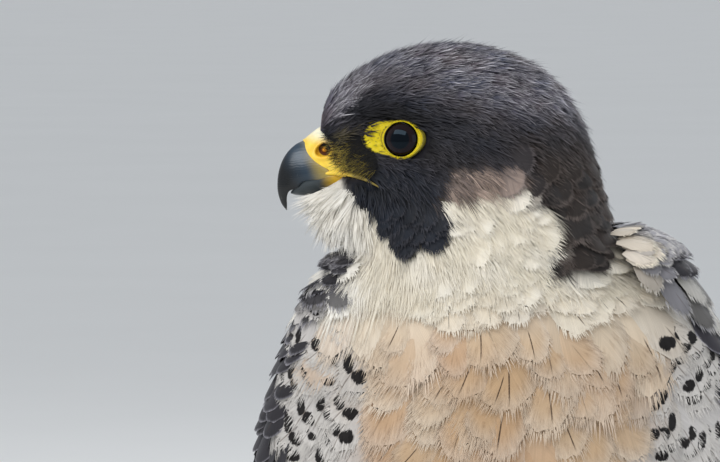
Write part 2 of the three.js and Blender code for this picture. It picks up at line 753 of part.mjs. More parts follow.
function addLeg(name, hand) {
  const kinds = Object.entries(TOES);
  const ball = new THREE.SphereGeometry(1, 9, 6);
  ball.scale(...BALL.radii);
  ball.translate(hand * FOOT.x, FOOT.y + BALL.y, BALL.z);
  const foot = fuse([...kinds.map(([, kind]) => toe(hand, kind)), solidOf(ball)]);
  const shank = limb(shankRows(hand), 8, 10);
  const shankGrown = limb(shankRows(hand), 8, 10, SEAM);
  const thigh = limb(thighRows(hand), 10, 14).subtract(fuse([torsoGrown, shankGrown]));
  const sole = foot.intersect(solidOf(aboveFloor));
  node("thigh_" + name, thigh, COLOURS.cream);
  node("shank_" + name, shank, COLOURS.yellow, 0.55);
  node("foot_" + name, sole.subtract(shankGrown), COLOURS.yellow, 0.55);
  for (const [kindName, kind] of kinds) node(`claw_${kindName}_${name}`, claw(hand, kind), COLOURS.claw, 0.3);
}

addHead();
addTrunk();
addTail();
for (const [name, hand] of [["left", 1], ["right", -1]]) {
  addWing(name, hand);
  addLeg(name, hand);
}
bird.position.set(PLACE.x, PLACE.y, PLACE.z);

export default bird;
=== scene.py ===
"""An adult peregrine falcon, life size, standing with its head turned to its right.

Lengths here are millimetres in the bird's own frame: breast to -Y, its left side to +X, +Z up and
the floor at 0. They become metres when a mesh is made.
"""
import math

import bpy
import numpy as np
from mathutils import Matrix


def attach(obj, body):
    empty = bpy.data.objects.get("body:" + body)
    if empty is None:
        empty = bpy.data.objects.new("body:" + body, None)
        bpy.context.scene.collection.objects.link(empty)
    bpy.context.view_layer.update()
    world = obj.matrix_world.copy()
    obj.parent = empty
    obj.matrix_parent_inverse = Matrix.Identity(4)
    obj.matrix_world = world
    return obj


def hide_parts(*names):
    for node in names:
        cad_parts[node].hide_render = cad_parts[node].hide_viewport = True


bl_info = {
    "name": "Peregrine Falcon",
    "version": (1, 0, 0),
    "blender": (4, 5, 0),
    "location": "View3D > Sidebar > Falcon",
    "description": "Builds the plumage, bill, eyes and feet of a standing peregrine falcon",
    "category": "Add Mesh",
}

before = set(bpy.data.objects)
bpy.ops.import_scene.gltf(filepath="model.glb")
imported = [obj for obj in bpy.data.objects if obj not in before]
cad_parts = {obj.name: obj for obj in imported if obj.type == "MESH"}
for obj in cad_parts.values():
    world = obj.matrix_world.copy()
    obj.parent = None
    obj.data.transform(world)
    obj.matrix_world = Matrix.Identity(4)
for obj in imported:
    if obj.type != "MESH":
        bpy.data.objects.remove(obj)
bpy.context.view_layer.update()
MM = 0.001
FULL_TURN = 2 * math.pi

# Where the bird's own middle lies in the frame
PLACE = np.array([0.0, -50.8, 0.0])

# Head sections: angle above the horizontal round the throat's line, distances of the throat and
# of the crown from it, and half the width.
THROAT = (-62.0, 304.0)
HEAD_Y = -16.0
# How far out from throat to crown a section is widest
WIDEST = 0.5
HEAD_ROWS = np.array([
    [84, 27, 48, 5],
    [80, 21, 54.5, 7],
    [74, 16, 62, 10],
    [67, 13, 70.5, 13.4],
    [58, 12, 80, 17.6],
    [48, 12.2, 88.5, 22.2],
    [38, 12.8, 94.8, 25.2],
    [27, 13.7, 96, 27.6],
    [14, 14, 94.5, 30],
    [0, 14, 97, 33],
])

# Torso sections: centre x, y, z, tilt, then the radius to the bird's right, left, front and back.
TORSO_ROWS = np.array([
    [-4, -15, 294, 4, 47, 46, 37, 35],
    [-1, -13, 282, 8, 54, 54, 43, 40],
    [0, -10, 266, 11, 60, 60, 50, 45],
    [0, -5, 243, 14, 64, 64, 56, 49],
    [0, 5, 214, 20, 64, 64, 58, 50],
    [0, 19, 185, 27, 58, 58, 53, 46],
    [0, 36, 157, 34, 47, 47, 42, 37],
    [0, 55, 131, 39, 34, 34, 28, 25],
    [0, 73, 109, 40, 24, 24, 16, 12],
    [0, 92, 86.4, 40, 15, 15, 8, 6],
])

# Swellings and hollows of the head: x, distance from its middle plane, z, reach and height.
HEAD_FORMS = (
    (-45, 13, 350, 7, 1.7),
    (-36, 17, 353, 8, 2.4),
    (-26, 20, 353, 8, 1.8),
    (-32, 18, 340.5, 8.5, -3),
    (-46, 12, 341, 6, -1.5),
    (-12, 24, 322, 16, 2.2),
    (-32, 18, 321, 12, 1.5),
)

# Puffs of the coat: x, z, reach and height in the head's side view. The first three are the pale
# cheek's, then the moustache's and the nape's.
PUFFS = (
    (6, 321, 8, 1.6),
    (8, 309, 6.5, 1.8),
    (-3, 301, 6, 1.2),
    (-29, 315, 8, 1.2),
    (22, 309, 10, 1.8),
)

# Folded wings: centre y, z, tilt, half the width, radius to the back and radius to the front.
WING_ROWS = np.array([
    [-14, 309, 2, 45, 33, 30],
    [-14, 303, 4, 57, 38, 36],
    [-13, 292, 6, 63, 43, 40],
    [-11, 272, 10, 71, 50, 46],
    [-5, 243, 14, 78, 55, 50],
    [5, 214, 20, 78, 57, 52],
    [19, 185, 27, 70, 54, 48],
    [36, 157, 34, 58, 45, 40],
    [55, 131, 39, 47, 34, 30],
    [73, 109, 40, 39, 24, 20],
    [92, 86.4, 40, 34, 20, 15],
    [111, 63.8, 40, 30, 17, 11],
    [130, 41.2, 40, 25, 15.5, 9],
    [149, 18.6, 40, 20, 14.5, 8],
])
# How much higher the left shoulder stands
SHRUG = 4.5

# Where the left leg's heel and foot lie, and how far the feet turn out, in degrees
HEEL = (27.0, 18.0, 64.0)
FOOT = (27.0, 4.0)
FOOT_TURN = 8.0
# The sign of each side: in x for the body, and in y for the head, which is turned
HANDS = {"left": 1, "right": -1}
HEAD_SIDES = {"left": -1, "right": 1}


def thigh_rows(hand):
    """Rows of a thigh: centre x, y, z, half the width across and front to back."""
    return np.array([
        [hand * 29, 12, 178, 17, 22],
        [hand * 32, 6, 150, 21, 27],
        [hand * 32, 4, 122, 20, 25],
        [hand * 30, 9, 96, 15.5, 18],
        [hand * 28, 15, 74, 9.5, 10.5],
        [hand * HEEL[0], 18, 60, 6, 6.4],
    ])


def shank_rows(hand):
    """Rows of a bare shank, as a thigh's."""
    return np.array([
        [hand * HEEL[0], HEEL[1], HEEL[2] + 5, 4.4, 4.8],
        [hand * HEEL[0], HEEL[1] - 0.5, HEEL[2] - 6, 4.9, 5.2],
        [hand * HEEL[0], HEEL[1] - 5, 42, 4, 4.2],
        [hand * HEEL[0], FOOT[1] + 4, 24, 4, 4.2],
        [hand * FOOT[0], FOOT[1] + 1, 13.2, 5, 5],
    ])


# Shapes as functions of two parameters


def mix(a, b, share):
    """a and b in proportion: a where share is 0 and b where it is 1."""
    return a + (b - a) * share


def step(low, high, x):
    """0 below low, 1 above high, and 3s^2 - 2s^3 of the share s between them."""
    s = np.clip((x - low) / (high - low), 0, 1)
    return s * s * (3 - 2 * s)


def hump(*away):
    """1 at a place and less around it: e to the power of minus the sum of the squares of distances
    from it, each counted in reaches."""
    return np.exp(-sum(a**2 for a in away))


def unit(v):
    """Vectors divided by their lengths."""
    return v / np.maximum(np.linalg.norm(v, axis=-1, keepdims=True), 1e-9)


def dot(a, b):
    """The dot product along the last axis, kept as an axis."""
    return (a * b).sum(-1, keepdims=True)


def vector(x, y, z):
    """Three arrays or numbers as one array of points."""
    return np.stack(np.broadcast_arrays(x, y, z), -1).astype(float)


def along(rows, t):
    """The columns of a Catmull-Rom curve through evenly spaced rows, read at places t counted in
    rows."""
    t = np.asarray(t, float)
    last = len(rows) - 1
    i = np.clip(np.floor(t).astype(int), 0, last - 1)
    f = (t - i)[..., None]
    a, b, c, d = (rows[np.clip(i + k, 0, last)] for k in (-1, 0, 1, 2))
    cubic = c - a + f * (2 * a - 5 * b + 4 * c - d + f * (3 * (b - c) + d - a))
    return np.moveaxis(b + 0.5 * f * cubic, -1, 0)


def body_rows():
    """Centre x, y, z, fan angle, tilt and radii to throat, crown, left and right of every row."""
    angle, inner, outer, half = HEAD_ROWS.T
    reach = mix(inner, outer, WIDEST)
    fan = np.radians(angle)
    head = [THROAT[0] + reach * np.cos(fan), HEAD_Y + 0 * fan, THROAT[1] + reach * np.sin(fan)]
    head += [angle, 0 * angle, reach - inner, outer - reach, half, half]
    x, y, z, tilt, right, left, front, back = TORSO_ROWS.T
    torso = [x, y, z, 0 * x, tilt, right, left, front, back]
    return np.concatenate([np.stack(head, -1), np.stack(torso, -1)])


BODY_ROWS = body_rows()
NECK_ROW = len(HEAD_ROWS) - 1
VENT_ROW = len(BODY_ROWS) - 3
LAST_ROW = VENT_ROW + 2.0


def head_forms(p):
    """The height of the head's swellings at points: a sum of high * exp(-distance^2 / reach^2)."""
    high = 0
    for x, side, z, reach, height in HEAD_FORMS:
        away = (p[..., 0] - x) ** 2 + (np.abs(p[..., 1] - HEAD_Y) - side) ** 2 + (p[..., 2] - z) ** 2
        high = high + height * np.exp(-away / reach**2)
    return high[..., None]


def body_point(t, turn, grow=0.0):
    """Head, neck and torso: an ellipse of four radii round the centre of row t, pushed out by the
    head's forms. turn is 0 at the throat, a quarter turn at the head's left and the chest's front."""
    x, y, z, fan, tilt, inner, outer, left, right = along(BODY_ROWS, t)
    fan, tilt = np.radians(fan), np.radians(tilt)
    c, s = -np.cos(turn), np.sin(turn)
    reach = c * (np.where(c < 0, inner, outer) + grow)
    wide = s * (np.where(s > 0, left, right) + grow)
    out = vector(np.cos(fan) * reach, 0, np.sin(fan) * reach)
    out = out + vector(0, -np.cos(tilt) * wide, -np.sin(tilt) * wide)
    p = vector(x, y, z) + out
    return p + unit(out) * head_forms(p)


def wing_point(hand):
    """The function of a folded wing's surface: row t, and an angle that is 0 at the middle of the
    back and a quarter turn at the side, on an ellipse of row t's radii."""
    def point(t, angle):
        y, level, tilt, half, back, front = along(WING_ROWS, t)
        tilt = np.radians(tilt)
        z = level + (SHRUG * hump(t / 1.6) if hand > 0 else 0)
        deep = np.where(np.cos(angle) > 0, back, front) * np.cos(angle)
        return vector(hand * half * np.sin(angle), y + deep * np.cos(tilt), z + deep * np.sin(tilt))
    return point


def limb_point(rows):
    """The function of a limb's surface: an ellipse round the centre of row t, turned by turn."""
    def point(t, turn):
        x, y, z, across, deep = along(rows, t)
        return vector(x + across * np.cos(turn), y + deep * np.sin(turn), z)
    return point


def tail_point(out, x, lift):
    """A point of the tail's flat: out along it from the vent, x across it and lift over it."""
    _, y, z, _, tilt = BODY_ROWS[VENT_ROW][:5]
    a = math.radians(tilt + 1)
    return vector(
        x,
        y + out * math.sin(a) + lift * math.cos(a),
        z - out * math.cos(a) + lift * math.sin(a),
    )


# How many places strew() draws for each one that it can keep
DRAWS_PER_CELL = 7


def walk(line):
    """How far along a line each of its points lies."""
    return np.concatenate([[0], np.cumsum(np.linalg.norm(np.diff(line, axis=0), axis=-1))])


class Surface:
    """A surface that is a function of two parameters u and v, sampled once on a fine grid, with
    its slopes and its outward normals."""

    def __init__(self, function, u, v, counts=(360, 300), wraps=True):
        self.low = (u[0], v[0])
        self.span = (u[1] - u[0], v[1] - v[0])
        self.counts = counts
        self.wraps = wraps
        grid = np.meshgrid(np.linspace(*u, counts[0]), np.linspace(*v, counts[1]), indexing="ij")
        self.points = function(*grid)
        self.by_u = np.gradient(self.points, self.span[0] / (counts[0] - 1), axis=0)
        self.by_v = np.gradient(self.points, self.span[1] / (counts[1] - 1), axis=1)
        normals = unit(np.cross(self.by_u, self.by_v))
        middle = self.points.mean(axis=1, keepdims=True)
        outward = np.sign((normals * (self.points - middle)).sum())
        self.normals = normals * outward

    def read(self, grid, u, v):
        """A grid's values at u and v, in proportion between its four nearest samples."""
        x = np.clip((u - self.low[0]) / self.span[0], 0, 1) * (self.counts[0] - 1)
        y = (v - self.low[1]) / self.span[1]
        y = (y % 1.0 if self.wraps else np.clip(y, 0, 1)) * (self.counts[1] - 1)
        i = np.minimum(x.astype(int), self.counts[0] - 2)
        j = np.minimum(y.astype(int), self.counts[1] - 2)
        x, y = (x - i)[..., None], (y - j)[..., None]
        near = mix(grid[i, j], grid[i + 1, j], x)
        far = mix(grid[i, j + 1], grid[i + 1, j + 1], x)
        return mix(near, far, y)

    def at(self, u, v):
        """Points and normals at u and v. Past the ends of u the surface runs straight on."""
        past = (u - np.clip(u, self.low[0], self.low[0] + self.span[0]))[..., None]
        points = self.read(self.points, u, v) + past * self.read(self.by_u, u, v)
        return points, unit(self.read(self.normals, u, v))

    def ways(self, u, v, lie):
        """Steps in u and v per millimetre along a direction laid on the surface and across it."""
        by_u, by_v = self.read(self.by_u, u, v), self.read(self.by_v, u, v)
        normal = unit(self.read(self.normals, u, v))
        ahead = unit(lie - normal * dot(lie, normal))
        across = np.cross(normal, ahead)
        uu, uv, vv = dot(by_u, by_u), dot(by_u, by_v), dot(by_v, by_v)
        size = np.maximum(uu * vv - uv * uv, 1e-9)
        steps = []
        for way in (ahead, across):
            wu, wv = dot(way, by_u), dot(way, by_v)
            steps.append(np.concatenate([(wu * vv - wv * uv) / size, (wv * uu - wu * uv) / size], -1))
        return steps

    def strew(self, spacing, keep, seed, end):
        """Root places about spacing apart: places drawn evenly by area up to u = end, of which each
        cube of that side keeps one. keep(points) says which count."""
        rng = np.random.default_rng(seed)
        area = np.linalg.norm(np.cross(self.by_u, self.by_v), axis=-1)[:-1, :-1]
        rows = np.arange(len(area)) / len(area) * self.span[0] + self.low[0]
        area = (area * (rows < end)[:, None]).ravel()
        cell = self.span[0] * self.span[1] / area.size
        total = area.sum() * cell
        count = int(DRAWS_PER_CELL * total / spacing**2)
        pick = np.searchsorted(np.cumsum(area) / area.sum(), rng.random(count))
        i, j = np.divmod(np.minimum(pick, area.size - 1), self.counts[1] - 1)
        u = self.low[0] + (i + rng.random(count)) * self.span[0] / (self.counts[0] - 1)
        v = self.low[1] + (j + rng.random(count)) * self.span[1] / (self.counts[1] - 1)
        points, _ = self.at(u, v)
        held = keep(points)
        u, v, points = u[held], v[held], points[held]
        _, first = np.unique(np.floor(points / spacing).astype(int), axis=0, return_index=True)
        return u[first], v[first]

    def tile(self, rows, spacing, v_range, keep, seed, jitter=0.18):
        """Root places in staggered rows: u at each of rows, and v every spacing millimetres."""
        rng = np.random.default_rng(seed)
        us, vs = [], []
        fine = np.linspace(*v_range, 200)
        for row, u in enumerate(rows):
            ring, _ = self.at(np.full_like(fine, u), fine)
            walked = walk(ring)
            count = max(2, int(round(walked[-1] / spacing)))
            places = (np.arange(count) + 0.5 * (row % 2) + rng.normal(0, jitter, count)) / count
            vs.append(np.interp(places * walked[-1], walked, fine))
            us.append(np.full(count, u))
        u, v = np.concatenate(us), np.concatenate(vs)
        u = u + rng.normal(0, jitter * np.diff(rows).mean(), len(u))
        held = keep(self.at(u, v)[0])
        return u[held], v[held]


def rows_apart(surface, u_range, v, spacing):
    """Values of u from one end of a range to the other, spacing millimetres apart along v."""
    fine = np.linspace(*u_range, 400)
    line, _ = surface.at(fine, np.full_like(fine, v))
    walked = walk(line)
    count = max(2, int(walked[-1] / spacing))
    return np.interp(np.linspace(0, walked[-1], count), walked, fine)


# Plans of single feathers


class Plan:
    """The outline of a feather in several versions: points as shares a of its length and b of half
    its width, how far each lifts, and faces of four points."""

    def __init__(self, a, b, lift, faces):
        self.a, self.b, self.lift, self.faces = a, b, lift, faces
        self.size = a.shape[1]

    def joined(self, other):
        """This plan and another as one."""
        return Plan(
            np.concatenate([self.a, other.a], 1),
            np.concatenate([self.b, other.b], 1),
            np.concatenate([self.lift, other.lift], 1),
            np.concatenate([self.faces, other.faces + self.size]),
        )


def strip_faces(rows, columns):
    """Faces of a grid of rows by columns points, outwards where rows run along a feather."""
    i, j = np.mgrid[0 : rows - 1, 0 : columns - 1]
    first = (i * columns + j).ravel()
    return np.stack([first, first + columns, first + columns + 1, first + 1], -1)


def vane_plan(outline, rows, columns, ragged=0.05, round_tip=0.1, size=1.0, versions=8, seed=1):
    """A vane: rows of points as wide as the outline and closer towards the tip, the last ones bowed
    forward, and its edge and tip drawn in and out at random by a share of ragged. size is its share
    of the whole feather."""
    rng = np.random.default_rng(seed)
    share, wide = np.array(outline).T
    a = 1 - (1 - np.linspace(0, 1, rows)) ** 1.5
    b = np.linspace(-1, 1, columns)
    half = np.interp(a, share, wide)
    plan_a = a[:, None] - round_tip * (b**2)[None, :] * step(0.3, 1, a)[:, None]
    plan_b = half[:, None] * b[None, :]
    edge = (np.abs(b) > 0.99)[None, :] * step(0.2, 0.5, a)[:, None]
    tip = (a > 0.99)[:, None] * np.ones(columns)[None, :]
    shape = (versions, rows, columns)
    plan_a = size * (plan_a + ragged * rng.uniform(-1, 1, shape) * np.maximum(edge, tip) * 0.7)
    plan_b = size * plan_b * (1 + ragged * 2 * rng.uniform(-1, 1, shape) * edge)
    flat = (versions, rows * columns)
    return Plan(plan_a.reshape(flat), plan_b.reshape(flat), np.zeros(flat), strip_faces(rows, columns))


def strand_plan(starts, ends, width, rows, bow, lift=0.0, taper=(0.7, 1, 0.65, 0.06)):
    """Fine hairs from points starts to points ends (a, b) that bow sideways. taper is how wide they
    are at the root, at a third and at four fifths of their length and at the tip."""
    share = np.linspace(0, 1, rows)
    line = mix(starts[..., None, :], ends[..., None, :], share[:, None])
    line[..., 1] += bow[..., None] * share * share
    half = width * np.interp(share, [0, 0.35, 0.8, 1], taper)
    side = np.array([-1.0, 1.0])
    a = np.broadcast_to(line[..., 0:1], line.shape[:-1] + (2,))
    b = line[..., 1:2] + half[:, None] * side
    versions, count = starts.shape[:2]
    faces = strip_faces(rows, 2)[None] + (np.arange(count) * rows * 2)[:, None, None]
    flat = (versions, count * rows * 2)
    high = np.broadcast_to((lift * share**2)[:, None], (versions, count, rows, 2))
    return Plan(a.reshape(flat), b.reshape(flat), high.reshape(flat), faces.reshape(-1, 4))


def hair_plan(hairs, rows, spread, width, bow=0.25, versions=10, seed=2):
    """A tuft of fine hairs that part from near one root."""
    rng = np.random.default_rng(seed)
    shape = (versions, hairs)
    root = rng.uniform(-1, 1, shape)
    start = np.stack([rng.uniform(0, 0.18, shape), 0.5 * root], -1)
    end = np.stack([rng.uniform(0.62, 1.08, shape), spread * root + rng.normal(0, 0.3, shape)], -1)
    return strand_plan(start, end, width, rows, rng.normal(0, bow, shape), 0.0)


def fringe_plan(hairs, inner, long, ratio, width, versions=8, seed=3):
    """The loose ends of a round vane's barbs: pointed strands that start at shares of its reach from
    inner to its edge, more of them near the edge, and run on outwards and ahead. Each is about long
    of the feather's length. ratio is that length over half its width."""
    rng = np.random.default_rng(seed)
    shape = (versions, hairs)
    turn = np.linspace(-1, 1, hairs) * math.radians(86) + rng.normal(0, 0.03, shape)
    inner = mix(inner, 0.95, rng.random(shape) ** 0.4)
    start = np.stack([0.5 + 0.5 * inner * np.cos(turn), inner * np.sin(turn)], -1)
    way = 0.36 * turn + rng.normal(0, 0.09, shape)
    reach = long * rng.uniform(0.5, 1.25, shape)[..., None]
    end = start + reach * np.stack([np.cos(way), ratio * np.sin(way)], -1)
    return strand_plan(start, end, width, 3, rng.normal(0, 0.02, shape), 0.015, (1, 0.85, 0.45, 0.03))


# Outlines of vanes: shares of the length, and half the width there as a share of the widest
ROUND = [
    (0, 0.45), (0.2, 0.82), (0.45, 1), (0.62, 0.98), (0.76, 0.86), (0.87, 0.68), (0.95, 0.44), (1, 0.16),
]
QUILL = [(0, 0.35), (0.12, 0.75), (0.4, 1), (0.75, 0.93), (0.9, 0.7), (1, 0.22)]


# Meshes


class Piece:
    """Points, faces and their attributes, gathered part by part and then made one mesh."""

    def __init__(self, name):
        self.name = name
        self.parts = []
        self.count = 0

    def add(self, points, faces, uv=None, **values):
        """Adds a part: its points, its faces as arrays of indices, and UV maps and attributes with
        a value for each point."""
        points = points.reshape(-1, 3)
        faces = faces if isinstance(faces, list) else [faces]
        faces = [f.reshape(-1, f.shape[-1]) + self.count for f in faces if f.size]
        self.parts.append((points, faces, uv or {}, values))
        self.count += len(points)

    def body(self, function, u, sides):
        """Adds a closed body: a function of u, given as first, last and count, and of a full turn
        in so many sides."""
        turn = np.linspace(0, FULL_TURN, sides + 1)[:-1]
        self.add(*closed(function(*np.meshgrid(np.linspace(*u), turn, indexing="ij"))))

    def make(self, finish, slot=None, replaces=()):
        """Makes the mesh and its object, which rides on the bird."""
        mesh = bpy.data.meshes.new(self.name)
        points = np.concatenate([p[0] for p in self.parts]) + PLACE
        faces = [f for p in self.parts for f in p[1]]
        sizes = np.concatenate([np.full(len(f), f.shape[1]) for f in faces])
        corners = np.concatenate([f.ravel() for f in faces])
        starts = np.concatenate([[0], np.cumsum(sizes)[:-1]])
        mesh.vertices.add(len(points))
        mesh.vertices.foreach_set("co", (points * MM).astype(np.float32).ravel())
        mesh.loops.add(len(corners))
        mesh.loops.foreach_set("vertex_index", corners.astype(np.int32))
        mesh.polygons.add(len(sizes))
        mesh.polygons.foreach_set("loop_start", starts.astype(np.int32))
        mesh.polygons.foreach_set("loop_total", sizes.astype(np.int32))
        mesh.polygons.foreach_set("use_smooth", np.full(len(sizes), True))
        for name in self.parts[0][2]:
            uv = np.concatenate([p[2][name] for p in self.parts])[corners]
            mesh.uv_layers.new(name=name).data.foreach_set("uv", uv.astype(np.float32).ravel())
        for name in self.parts[0][3]:
            values = np.concatenate([p[3][name] for p in self.parts])
            layer = mesh.attributes.new(name, "FLOAT_COLOR", "POINT")
            layer.data.foreach_set("color", values.astype(np.float32).ravel())
        mesh.update(calc_edges=True)
        mesh.materials.append(finish)
        made = bpy.data.objects.new(self.name, mesh)
        bpy.context.scene.collection.objects.link(made)
        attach(made, "root")
        if replaces:
            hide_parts(*replaces)
        return made


def column(values, count):
    """A number or one value per feather, as a column for sums over a feather's points."""
    return np.broadcast_to(np.asarray(values, float), (count,))[:, None]


def lay(piece, surface, u, v, plan, look, length, half, lie, deep, high,
        stand=0.0, cup=0.15, roll=0.0, bend=0.0, seed=7, cling=1.0):
    """Lays one feather at each place u, v of a surface. Its point at shares a, b of its plan lies
    a * length along the lie and b * half + bend * a^2 * length across it, at a height that goes
    from deep to high as a^0.8, plus stand * length * a^3, less cup * half * b^2, plus roll * half * b.
    The feather follows the surface by a share of cling and otherwise runs straight from its root,
    with a cling of 0 just as the lie says. look is one look, or those of the root and of the tip."""
    count = len(u)
    if not count:
        return
    rng = np.random.default_rng(seed)
    version = rng.integers(0, len(plan.a), count)
    a, b, lift = plan.a[version], plan.b[version], plan.lift[version]
    length, half = column(length, count), column(half, count)
    ahead, across = surface.ways(u, v, lie)
    far = a * length
    wide = b * half + column(bend, count) * a**2 * length
    at_u = u[:, None] + far * ahead[:, 0:1] + wide * across[:, 0:1]
    at_v = v[:, None] + far * ahead[:, 1:2] + wide * across[:, 1:2]
    points, normals = surface.at(at_u, at_v)
    if cling < 1:
        root, up = (grid[:, None] for grid in surface.at(u, v))
        way = unit(lie[:, None] - up * dot(lie[:, None], up) * (cling > 0))
        straight = root + far[..., None] * way + wide[..., None] * unit(np.cross(up, way))
        points = mix(straight, points, cling)
        normals = unit(mix(up, normals, cling))
    rise = mix(column(deep, count), column(high, count), np.clip(a, 0, 1) ** 0.8)
    rise = rise + column(stand, count) * length * np.clip(a, 0, 1) ** 3 + lift * length
    rise = rise - column(cup, count) * half * b**2 + column(roll, count) * half * b
    if isinstance(look, tuple):
        share = np.clip(a, 0, 1)[..., None]
        look = {name: mix(look[0][name][:, None], tip[:, None], share) if name != "mark" else tip
                for name, tip in look[1].items()}
    add_feathers(piece, points + normals * rise[..., None], plan, a, b, surface, u, v, look)


# What the feathers' patches leave free round the skin's unwrap
MARGIN = 0.003


def add_feathers(piece, points, plan, a, b, surface, u, v, look):
    """Adds laid feathers to a piece, with their colours, their own UV map and the map in which
    each is a small patch at its root's place on the skin's unwrap."""
    count, size = a.shape
    faces = plan.faces[None] + (np.arange(count) * size)[:, None, None]
    own = np.stack([b * 0.5 + 0.5, np.clip(a, 0, 1.2)], -1).reshape(-1, 2)
    root = np.stack([(v - surface.low[1]) / surface.span[1] % 1.0,
                     np.clip((u - surface.low[0]) / surface.span[0], 0, 1)], -1)
    patch = mix(MARGIN, 1 - MARGIN, root)[:, None] + MARGIN / 2 * np.stack([b, 2 * a - 1], -1)
    values = {name: (value.reshape(-1, 4) if value.ndim == 3 else np.repeat(value, size, axis=0))
              for name, value in look.items()}
    piece.add(points, faces, {"OFBake": patch.reshape(-1, 2), "Vane": own}, **values)


# Where each colour of plumage lies: outlines in the head's side view, x and z

PALE_FACE = [
    (-80, 330), (-52.5, 330), (-50.3, 328), (-49.2, 326), (-47.4, 323), (-45, 320.4), (-42, 319.2),
    (-39.4, 317.4), (-36.9, 315), (-34, 312.6), (-33, 308.5), (-30.5, 306.5), (-28.5, 309.5),
    (-25, 311.5), (-21, 311), (-17.5, 313.5), (-19, 319.5), (-21, 323), (-15.9, 325.5), (-9, 325.5),
    (-3.3, 327.8), (1.1, 330), (4.5, 328.4), (6.2, 324.4), (11.4, 323), (14.2, 319.3), (14.4, 314.8),
    (11.3, 312.9), (11.9, 309.5), (11.3, 306.7), (11.3, 304), (16.6, 301.5), (24.7, 301.5), (30.3, 304),
    (33, 309), (36, 320), (90, 320), (90, 200), (-90, 200),
]
MOUSTACHE = [
    (-49, 329), (-46, 321), (-37, 313), (-31, 303), (-24, 301), (-15, 313), (-20, 322), (-23, 328),
    (-28, 334), (-42, 334),
]
EAR = [(-22, 324), (-18, 334), (-8, 336), (2, 334), (4, 328), (-3, 323), (-14, 321)]
LORES = [(-54, 343.5), (-51, 337), (-47, 331.2), (-41.5, 331.2), (-41, 337), (-43.5, 342), (-48, 345)]
BORDER = [
    (-90, 348.2), (-57.4, 348.2), (-54.4, 344.6), (-51.4, 340), (-49.6, 335.6), (-47, 332.6),
    (-46.8, 330), (-55, 324.6), (-90, 312),
]
# Where the mantle begins at the shoulders: heights, and distances from the middle
SHOULDER = ((289, 296, 302, 308, 314), (53, 50, 47, 43, 38))
# How far back the pale underside reaches: heights, and y
BACK_EDGE = ((60, 109, 131, 157, 185, 214, 243, 266, 290), (104, 80, 62, 44, 26, 12, 2, -4, -20))
# An eye's place in the side view, how deep it lies, its radius and its turn to the front in degrees,
# then the bare ring's reach from its middle, its thickness and how far it swells
EYE = {"x": -30.8, "z": 342.4, "depth": 5.8, "radius": 7.9, "turn": 17}
LID = {"inner": 5.35, "outer": 6.0, "front": 7.6, "back": 1.3, "top": 0.45, "thick": 1.3, "swell": 0.55}
# The bulge of the eye's clear front: its height, and its reach as an angle
CORNEA = {"height": 0.35, "reach": 0.62}


def depth_in(outline, x, z):
    """How far places lie inside an outline, or below 0 how far outside: the distance to its
    nearest side."""
    place = np.stack([x, z], -1)[..., None, :]
    a = np.array(outline, float)
    b = np.roll(a, -1, axis=0)
    side = b - a
    share = np.clip(((place - a) * side).sum(-1) / (side**2).sum(-1), 0, 1)
    near = np.linalg.norm(place - a - share[..., None] * side, axis=-1).min(-1)
    px, pz = place[..., 0], place[..., 1]
    spans = (a[:, 1] > pz) != (b[:, 1] > pz)
    with np.errstate(divide="ignore", invalid="ignore"):
        crossed = px < side[:, 0] * (pz - a[:, 1]) / side[:, 1] + a[:, 0]
    inside = (spans & crossed).sum(-1) % 2 == 1
    return np.where(inside, near, -near)


def ripple(p, size, seed):
    """A smooth random height between about -1 and 1: five waves of about that size in millimetres,
    each along its own random direction."""
    rng = np.random.default_rng(seed)
    total = 0
    for _ in range(5):
        way = unit(rng.normal(size=3)) * FULL_TURN / (size * rng.uniform(0.7, 1.6))
        total = total + np.sin(p @ way + rng.uniform(0, FULL_TURN))
    return total / 3


def colours():
    """The named paints of the plumage as numbers."""
    paints = bpy.context.scene.falcon_paints
    return {name: np.array(getattr(paints, name)[:3]) for name in paints.__annotations__}


def blend(a, b, share):
    """Colours in proportion, with one share for each place."""
    return a + (b - a) * np.asarray(share)[..., None]


def look_of(count, rng, ground, rim, mark):
    """The look of feathers: the ground's colour, with a random number as its alpha, the rim's
    colour, and how much streak, rim, spot and bar they have."""
    ground, rim = (np.broadcast_to(colour, (count, 3)) for colour in (ground, rim))
    return {
        "tint": np.concatenate([ground, rng.random((count, 1))], -1),
        "rim": np.concatenate([rim, np.ones((count, 1))], -1),
        "mark": np.broadcast_to(mark, (count, 4)),
    }


